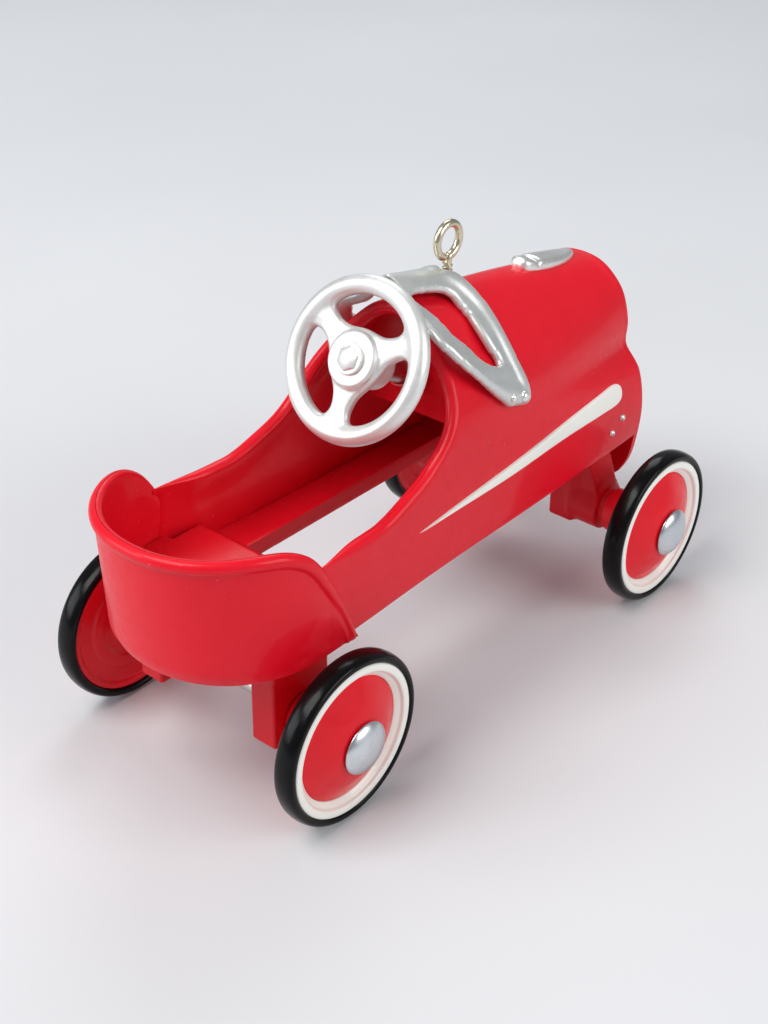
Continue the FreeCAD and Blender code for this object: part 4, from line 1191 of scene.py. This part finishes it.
def nut_field(points):
    """A round cap with a domed hexagon on it."""
    x, y, z = points.T
    radius = np.hypot(x, y)
    cap = soft_max(radius - 1.95, np.abs(z - 1.28) - 0.30, 0.22)
    sides = [x * math.cos(math.radians(60 * i)) + y * math.sin(math.radians(60 * i))
             for i in range(6)]
    hexagon = soft_max(np.max(sides, 0) - 1.28, np.abs(z - 1.7) - 0.5, 0.16)
    dome = np.hypot(radius, z + 1.4) - 3.38
    return soft_min(cap, soft_max(hexagon, dome, 0.10), 0.16)


def on_column(mesh):
    points, faces = mesh
    return points @ STEER_AXES.T + STEER_CENTRE, faces


piece("steering_wheel_casting",
      on_column(solid(steering_wheel_field, (-10.3, -10.3, -3.7), (10.3, 10.3, 1.8), 0.15)),
      SILVER_SATIN, "steering_wheel", angle=70, merge=0.001, body="steering")
piece("steering_nut_cap", on_column(solid(nut_field, (-2.3, -2.3, 0.8), (2.3, 2.3, 2.5), 0.07)),
      SILVER_SATIN, "steering_nut", angle=70, merge=0.001, body="steering")


# ---------------------------------------------------------------------------
# Windshield frame: a sheet between a front and a rear rail, thickened by balls.
# `arc` runs from 0 on the centre line to 8 at the foot, `across` from 0 (front) to 1 (rear).
# ---------------------------------------------------------------------------
FOOT_ARC = 8.0
# rail points (x, y, z) at arc = 0, 1, 2 ...
FRONT_RAIL = np.array([
    (36.7, 0, 49.7), (37.86, 1.7, 49.23), (39.25, 3.4, 47.23), (39.62, 5.4, 45.06),
    (39.54, 7.6, 42.79), (39.55, 9.6, 40.15), (39.7, 11.2, 37.75), (39.3, 12.25, 36.2),
    (38.5, 12.75, 34.85)])
REAR_RAIL = np.array([
    (25.69, 0, 52.32), (26.34, 1.75, 51.22), (27.1, 3.4, 49.73), (26.91, 5.6, 48.09),
    (26.38, 8.6, 46.82), (27.58, 10.6, 44.62), (29.49, 11.8, 42.24), (31.99, 12.5, 39.09),
    (35.15, 12.8, 35.73)])
# window opening: (arc, across)
WINDOW = [
    (1.72, 0.851), (1.7, 0.749), (1.73, 0.664), (1.84, 0.494), (2.21, 0.379), (2.7, 0.363),
    (3.24, 0.333), (3.99, 0.338), (4.65, 0.338), (5.25, 0.336), (5.45, 0.417), (5.38, 0.534),
    (4.45, 0.688), (3.9, 0.755), (2.83, 0.802)]
SCREEN_LOW, SCREEN_HIGH = np.array([23.8, -14.6, 33.0]), np.array([41.2, 14.6, 54.0])
SCREEN_STEP = 0.17


def rail_point(rail, arc):
    """Point on a rail, whose spline runs on over the mirrored side."""
    points = np.vstack([rail[3:0:-1] * np.array([1, -1, 1]), rail])
    knots = np.arange(-3, len(rail), dtype=float)
    matrix = spline_matrix(knots)
    return np.stack([spline(knots, matrix, points[:, k], arc) for k in range(3)], -1)


def screen_point(arc, across):
    front, rear = rail_point(FRONT_RAIL, arc), rail_point(REAR_RAIL, arc)
    # rounding the front rail would pull its outline in, so it stands a little proud
    proud = 0.62 * smooth((arc - 0.8) / 3.0)[..., None]
    span = front - rear
    front = front + proud * span / np.linalg.norm(span, axis=-1, keepdims=True)
    return front * (1 - across[..., None]) + rear * across[..., None]


def screen_balls():
    """Centres and radii of the balls that fill the left half of the frame."""
    arc, across = (grid.ravel() for grid in np.meshgrid(
        np.linspace(0, FOOT_ARC, 150), np.linspace(0, 1, 64), indexing="ij"))
    points = screen_point(arc, across)
    nudge = 1e-3
    along = screen_point(arc + nudge, across) - screen_point(arc - nudge, across)
    back = screen_point(arc, across + nudge) - screen_point(arc, across - nudge)
    outward = np.stack([np.full(len(points), -0.3), np.maximum(points[:, 1] / 13, 0.0),
                        np.full(len(points), 0.7)], 1)
    normals = face_toward(unit(np.cross(along, back)), outward)
    window = curve(WINDOW, 140, closed=True)
    rail_arc = np.linspace(0, FOOT_ARC, 160)
    to_front = line_distance(points, screen_point(rail_arc, np.zeros(160)))
    to_rear = line_distance(points, screen_point(rail_arc, np.ones(160)))
    to_foot = line_distance(points, screen_point(np.full(20, FOOT_ARC), np.linspace(0, 1, 20)))
    to_window = line_distance(points, screen_point(window[:, 0], window[:, 1]), closed=True)
    nearest = np.minimum.reduce([to_front, to_rear, to_foot, to_window])
    # a raised ridge follows the front rail and fades at both ends; the foot is thicker
    ridge = np.exp(-((to_front - 1.38) / 0.80) ** 2) * smooth((FOOT_ARC - arc) / 1.2)
    ridge = ridge * (0.30 + 0.70 * smooth((arc - 0.3) / 2.4))
    foot = smooth((arc - 6.2) / 1.2)
    radii = 0.60 + 0.66 * ridge + 0.30 * foot * (1 - ridge)
    depth = radii + 0.38 * (1 - ridge) * (1 - foot) + 0.05
    inside = inside_polygon(np.stack([arc, across], 1), window)
    kept = (~inside) & (nearest >= radii * 0.985)
    return (points - normals * depth[:, None])[kept], radii[kept]


def windshield_mesh():
    axes = grid_axes(SCREEN_LOW, SCREEN_HIGH, SCREEN_STEP)
    counts = np.array([len(axis) for axis in axes])
    values = np.full(counts, 9.0, np.float32)
    margin = 2.5 * SCREEN_STEP
    centres, radii = screen_balls()
    for side in (1, -1):
        for centre, radius in zip(centres * np.array([1, side, 1]), radii):
            start = ((centre - radius - margin - SCREEN_LOW) / SCREEN_STEP).astype(int)
            end = ((centre + radius + margin - SCREEN_LOW) / SCREEN_STEP).astype(int) + 2
            start, end = np.maximum(start, 0), np.minimum(end, counts)
            window = tuple(slice(start[k], end[k]) for k in range(3))
            x, y, z = ((axes[k][window[k]] - centre[k]) ** 2 for k in range(3))
            ball = np.sqrt(x[:, None, None] + y[None, :, None] + z[None, None, :]) - radius
            part = values[window]
            np.minimum(part, ball, out=part)
    # room for the steering wheel rim
    grid = np.stack([axis.ravel() for axis in np.meshgrid(*axes, indexing="ij")], 1)
    local = (grid - STEER_CENTRE) @ STEER_AXES
    room = 0.32 - rim_distance(np.hypot(local[:, 0], local[:, 1]), local[:, 2])
    values = soft_max(values, room.reshape(values.shape).astype(np.float32), 0.35)
    points, faces = net(values, SCREEN_LOW, SCREEN_STEP)
    return relax(points, faces, rounds=9), faces


windshield = piece("windshield_casting", windshield_mesh(), SILVER, "windshield_frame",
                   angle=70, merge=0.001)


# ---------------------------------------------------------------------------
# Rivets: small domes on both sides
# ---------------------------------------------------------------------------
def surface_hit(target, x, z, side):
    """|y| (mm) and normal of a piece's outermost point on the line (x, z)."""
    bpy.context.evaluated_depsgraph_get()       # brings the mesh up to date for the ray
    origin = Vector((REAR_AXLE_X + x * MM, side * 0.05, z * MM))
    _, place, normal, _ = target.ray_cast(origin, Vector((0, -side, 0)))
    return abs(place.y) * 1000, np.array(normal)


def rivets(name, spots, target, node, height_ratio):
    """spots: (x, z, radius)."""
    meshes = []
    for side, _ in SIDES:
        for x, z, radius in spots:
            y, normal = surface_hit(target, x, z, side)
            axis = 0.5 * unit(normal) + 0.5 * np.array([0, side, 0])
            height = height_ratio * radius
            dome = curve([(0.0, height), (0.4 * radius, 0.93 * height),
                          (0.75 * radius, 0.66 * height), (0.95 * radius, 0.28 * height),
                          (radius, 0.0)], 12)
            profile = np.vstack([dome, [(radius, -0.35), (0.0, -0.35)]])
            meshes.append(lathe(profile, (x, side * y, z), axis, 36))
    piece(name, join(meshes), SILVER_BRIGHT, node, angle=50)


rivets("windshield_rivet_heads", [(37.5, 36.2, 0.7), (35.2, 36.9, 0.5)], windshield,
       "windshield_rivets", height_ratio=0.7)
rivets("side_rivet_heads", [(61.5, 23.4, 0.5), (59.2, 22.0, 0.5)], body_shell,
       "side_rivets", height_ratio=0.75)


# ---------------------------------------------------------------------------
# Raised pads that lie on the body: side spears and hood ornament
# ---------------------------------------------------------------------------
# spear edges in side view: (x, z)
SPEAR_TOP = [
    (18.5, 26.05), (24.0, 26.47), (30.0, 26.92), (36.0, 27.37), (42.0, 27.90), (48.0, 28.38),
    (53.5, 28.66), (57.5, 28.78), (59.6, 28.76), (60.6, 28.45), (61.05, 27.95), (61.15, 27.4)]
SPEAR_BOTTOM = [
    (18.5, 26.05), (24.0, 25.93), (30.0, 25.83), (36.0, 25.84), (42.0, 26.05), (48.0, 26.18),
    (53.5, 26.06), (57.5, 25.96), (59.6, 25.98), (60.6, 26.30), (61.05, 26.85), (61.15, 27.4)]
# left half of the ornament in plan: (x, y)
ORNAMENT_HALF = [
    (51.95, 0.0), (52.0, 0.80), (52.35, 1.28), (53.2, 1.56), (55.2, 1.78), (57.4, 1.84),
    (59.8, 1.70), (61.8, 1.34), (63.1, 0.88), (63.8, 0.42), (64.0, 0.0)]


def pad_grid(top, bottom, length_count, width_count):
    """Points between two curves that share their ends."""
    along = 0.5 - 0.5 * np.cos(np.linspace(0, math.pi, length_count))
    top, bottom = (np.stack([np.interp(along, np.linspace(0, 1, len(line)), line[:, k])
                             for k in (0, 1)], 1) for line in (top, bottom))
    across = 0.5 - 0.5 * np.cos(np.linspace(0, math.pi, width_count))
    across = 0.6 * across + 0.4 * smooth(across)
    return (bottom[:, None, :] * (1 - across[None, :, None])
            + top[:, None, :] * across[None, :, None])


def pad_mesh(top, bottom, surface, height, edge, sink, counts, height_at=None):
    """Pad with a rounded border; `surface` gives points and normals below its plan."""
    plan = pad_grid(top, bottom, *counts).reshape(-1, 2)
    to_edge = line_distance(plan, np.vstack([top, bottom[::-1][1:-1]]), closed=True)
    rounding = np.sqrt(np.maximum(1 - (1 - np.clip(to_edge / edge, 0, 1)) ** 2, 0))
    rise = height * rounding
    if height_at is not None:
        rise = rise * height_at(*plan.T)
    points, normals = surface(plan)
    rows, columns = counts
    size = rows * columns
    faces = [grid_faces(rows, columns), grid_faces(rows, columns, size, flip=True)]
    for column in (0, columns - 1):
        border = np.arange(rows) * columns + column
        faces.append(strip_faces(border, border + size))
    return np.vstack([points + normals * rise[:, None], points - normals * sink]), \
        np.vstack(faces)


def side_surface(side):
    mirror = np.array([1, side, 1])

    def surface(plan):
        x, z = plan.T
        arc = arc_at_z(x, z)
        return body_point(arc, x) * mirror, body_normal(arc, x) * mirror
    return surface


def hood_surface(plan):
    x, y = plan[:, 0], np.abs(plan[:, 1])
    arc = search_arc(8.5, len(x), lambda middle: body_yz(middle, x)[0] > y)
    points, normals = body_point(arc, x), body_normal(arc, x)
    points[:, 1] = plan[:, 1]
    normals[:, 1] *= np.where(plan[:, 1] < 0, -1.0, 1.0)
    # the pad stands nearly straight up
    return points, unit(normals * 0.35 + np.array([0.02, 0, 0.65]))


def ornament_height(x, y):
    groove = 0.34 * np.exp(-((x - 54.35) / 0.42) ** 2)
    thinning = 1 - 0.35 * smooth((x - 55.2) / 8.5)
    crown = 0.10 * (1 - (y / 1.9) ** 2)
    return (1.0 - groove) * thinning + crown


spear_top, spear_bottom = (resample(curve(line, 200), 200) for line in (SPEAR_TOP, SPEAR_BOTTOM))
for side, tag in SIDES:
    piece("spear_" + tag,
          pad_mesh(spear_top, spear_bottom, side_surface(side), height=0.40, edge=0.30,
                   sink=0.25, counts=(150, 17)),
          CREAM, "side_spear_" + tag, angle=50, merge=0.002)

ornament = resample(curve(ORNAMENT_HALF, 160), 160)
piece("ornament_blade",
      pad_mesh(ornament, ornament * np.array([1, -1]), hood_surface, height=1.02, edge=0.50,
               sink=0.35, counts=(150, 25), height_at=ornament_height),
      SILVER_BRIGHT, "hood_ornament", angle=50, merge=0.002)


# ---------------------------------------------------------------------------
# Screw eye: one wire bent into a ring over a threaded shank
# ---------------------------------------------------------------------------
EYE_X, EYE_Z = 37.8, 52.4       # centre of the ring
EYE_RADIUS, EYE_WIRE = 2.05, 0.5
SHANK_BOTTOM, SHANK_TOP = 45.2, 49.75
THREAD_BOTTOM, THREAD_HEIGHT, THREAD_TURNS = 45.3, 4.3, 7.4
THREAD_WIRE = 0.13
WIRE_END = np.array([0.98, 0.95, 0.88, 0.75, 0.5])      # taper of the last five rings


def tube(path, radii, sides):
    """Capped tube along a path, its section carried along without twisting."""
    count = len(path)
    radii = np.broadcast_to(radii, (count,))
    tangents = unit(np.gradient(path, axis=0))
    across = unit(np.cross(tangents[0], (0, 1.0, 0)))
    angle = np.linspace(0, 2 * math.pi, sides, endpoint=False)
    rings = []
    for place, radius, tangent in zip(path, radii, tangents):
        across = unit(across - tangent * (across @ tangent))
        third = np.cross(tangent, across)
        rings.append(place + radius * (np.cos(angle)[:, None] * across
                                       + np.sin(angle)[:, None] * third))
    points = np.vstack(rings + [path[:1], path[-1:]])
    start, end = len(points) - 2, len(points) - 1
    last = (count - 1) * sides
    faces = [tuple(face) for face in grid_faces(count, sides, wrap_columns=True)]
    faces += [(start, (i + 1) % sides, i) for i in range(sides)]
    faces += [(end, last + i, last + (i + 1) % sides) for i in range(sides)]
    return points, faces


def eye_wire():
    path = [(EYE_X, 0, z) for z in np.linspace(SHANK_BOTTOM, SHANK_TOP, 24)]
    path += [(EYE_X + 0.03, 0, 50.0), (EYE_X + 0.10, 0, 50.2)]
    for degrees in np.linspace(-84, 262, 90):
        angle = math.radians(degrees)
        aside = 0.18 * smooth((degrees - 200) / 62)
        path.append((EYE_X + EYE_RADIUS * math.cos(angle), aside,
                     EYE_Z + EYE_RADIUS * math.sin(angle)))
    path = resample(curve(path, 260), 220)
    radii = np.full(len(path), EYE_WIRE)
    radii[-5:] = EYE_WIRE * WIRE_END
    return tube(path, radii, 24)


def eye_thread():
    turn = np.linspace(0, 2 * math.pi * THREAD_TURNS, 240)
    helix = np.stack([EYE_X + EYE_WIRE * np.cos(turn), EYE_WIRE * np.sin(turn),
                      THREAD_BOTTOM + THREAD_HEIGHT * turn / turn[-1]], 1)
    return tube(helix, THREAD_WIRE, 8)


piece("screw_eye_wire", join([eye_wire(), eye_thread()]), BRASS, "eye_screw", angle=60,
      merge=0.0005)


# ---------------------------------------------------------------------------
# Front trim: slatted grille and lamps
# ---------------------------------------------------------------------------
SLAT_Z, SLAT_PITCH = 20.975, 1.72       # lowest of seven slats, and their spacing
LAMP_Y, LAMP_Z = 7.9, 26.6
# (radius, distance forward of the nose face)
BEZEL_CURVE = [
    (2.05, -0.1), (2.07, 0.3), (2.02, 0.58), (1.90, 0.80), (1.74, 0.90), (1.60, 0.86),
    (1.54, 0.72), (1.52, 0.40), (1.52, -0.1)]
LENS_CURVE = [(0.0, 1.12), (0.5, 1.08), (1.0, 0.95), (1.35, 0.78), (1.52, 0.62)]


def grille_field(points):
    local = points - np.array([NOSE_FRONT, 0, 0])
    border = round_box(local, low=(-0.3, -5.2, 19.0), high=(0.50, 5.2, 33.4), edge=0.28)
    hole = round_box(local, low=(-3, -4.5, 19.7), high=(3, 4.5, 32.7), edge=0.28)
    field = soft_max(border, -hole, 0.14)
    slat = local.copy()
    nearest = np.clip(np.round((local[:, 2] - SLAT_Z) / SLAT_PITCH), 0, 6)
    slat[:, 2] -= SLAT_Z + SLAT_PITCH * nearest
    bars = round_box(slat, low=(-0.3, -4.7, -0.38), high=(0.40, 4.7, 0.38), edge=0.24)
    field = soft_min(field, bars, 0.10)
    middle = round_box(local, low=(-0.3, -0.5, 19.3), high=(0.56, 0.5, 33.1), edge=0.26)
    return soft_min(field, middle, 0.12)


def grille_mesh():
    points, faces = solid(grille_field, (66.7, -5.7, 18.5), (68.1, 5.7, 33.9), 0.11)
    # flat back just inside the nose
    points[:, 0] = np.maximum(points[:, 0], NOSE_FRONT - 0.18)
    return points, faces


piece("grille_slats", grille_mesh(), SILVER_BRIGHT, "grille", angle=60, merge=0.0005)

BEZEL = curve(BEZEL_CURVE, 30)
LENS_PROFILE = np.vstack([curve(LENS_CURVE, 16), [(1.52, 0.36), (0.0, 0.36)]])
for side, tag in SIDES:
    lamp = (NOSE_FRONT, side * LAMP_Y, LAMP_Z)
    piece("lamp_bezel_" + tag, lathe(BEZEL, lamp, (1, 0, 0), 64), SILVER_BRIGHT,
          "headlamp_bezel_" + tag, angle=50)
    piece("lamp_lens_" + tag, lathe(LENS_PROFILE, lamp, (1, 0, 0), 64), LENS,
          "headlamp_lens_" + tag, angle=50)


# ---------------------------------------------------------------------------
# CAD nodes that stay: turned and plain parts
# ---------------------------------------------------------------------------
def keep_node(name, material, bevel):
    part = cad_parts[name]
    part.data.materials.clear()
    part.data.materials.append(material.data)
    if bevel:
        weld = part.modifiers.new("weld", "WELD")
        weld.merge_threshold = 1e-6
        edge = part.modifiers.new("edge", "BEVEL")
        edge.width = bevel * 0.001
        edge.segments = 3
        edge.limit_method = "ANGLE"
        edge.angle_limit = math.radians(40)
        edge.use_clamp_overlap = True


# node, material, bevel width in mm
for kept in (("rear_axle_rod", STEEL, None), ("front_axle_rod", STEEL, None),
             ("frame_screws", STEEL, 0.08), ("steering_column", STEEL, 0.12),
             ("column_clip", STEEL, 0.08), ("column_bush", RED_WHEEL, 0.15),
             ("dash_panel", RED_FRAME_SHADED, 0.12)):
    keep_node(*kept)


# ---------------------------------------------------------------------------
# Stage, light, camera, in metres
# ---------------------------------------------------------------------------
def stage_floor(half_size=6.0, count=48):
    data = bpy.data.meshes.new("studio_floor")
    ticks = [half_size * (2 * i / (count - 1) - 1) for i in range(count)]
    corners = [i * count + j for i in range(count - 1) for j in range(count - 1)]
    data.from_pydata([(x, y, 0.0) for x in ticks for y in ticks], [],
                     [(a, a + count, a + count + 1, a + 1) for a in corners])
    floor = bpy.data.objects.new("studio_floor", data)
    bpy.context.scene.collection.objects.link(floor)
    data.materials.append(floor_material().data)


def area_light(name, place, target, size, energy, color):
    light = bpy.data.lights.new(name, "AREA")
    light.energy = energy
    light.color = color
    light.shape = "RECTANGLE"
    light.size, light.size_y = size
    lamp = bpy.data.objects.new(name, light)
    bpy.context.scene.collection.objects.link(lamp)
    lamp.location = place
    lamp.rotation_mode = "QUATERNION"
    lamp.rotation_quaternion = (Vector(target) - Vector(place)).to_track_quat("-Z", "Y")


def world_light():
    world = bpy.data.worlds.new("studio")
    bpy.context.scene.world = world
    world.use_nodes = True
    background = world.node_tree.nodes.get("Background")
    background.inputs["Color"].default_value = (0.86, 0.90, 0.96, 1.0)
    background.inputs["Strength"].default_value = 0.32


def photo_camera():
    """Camera behind, to the right of and above the car."""
    lens = bpy.data.cameras.new("photo_camera")
    lens.lens = 58.27
    lens.sensor_width = 36.0
    lens.sensor_fit = "AUTO"
    lens.clip_start, lens.clip_end = 0.005, 20.0
    camera = bpy.data.objects.new("photo_camera", lens)
    bpy.context.scene.collection.objects.link(camera)
    right = (0.64963, -0.76017, 0.01119)
    up = (0.39224, 0.34774, 0.85160)
    back = (-0.65125, -0.54884, 0.52407)
    place = (REAR_AXLE_X - 0.10616, -0.11202, 0.12701)
    camera.matrix_world = Matrix((*zip(right, up, back, place), (0, 0, 0, 1)))
    bpy.context.scene.camera = camera


stage_floor()
area_light("key_softbox", place=(-0.30, 0.10, 0.52), target=(0.0, 0.0, 0.02),
           size=(0.36, 0.30), energy=2.3, color=(1.0, 0.985, 0.96))
area_light("window_left", place=(-0.42, 0.36, 0.22), target=(0.0, 0.0, 0.03),
           size=(0.34, 0.26), energy=1.1, color=(0.93, 0.96, 1.0))
area_light("fill_right", place=(0.12, -0.50, 0.30), target=(0.0, 0.0, 0.02),
           size=(0.40, 0.30), energy=1.5, color=(1.0, 0.99, 0.97))
area_light("top_back", place=(0.34, 0.28, 0.46), target=(0.01, 0.0, 0.03),
           size=(0.30, 0.26), energy=0.9, color=(0.96, 0.98, 1.0))
world_light()
photo_camera()
view = bpy.context.scene.view_settings
view.view_transform = "Standard"
view.look = "None"
view.exposure = 0.0
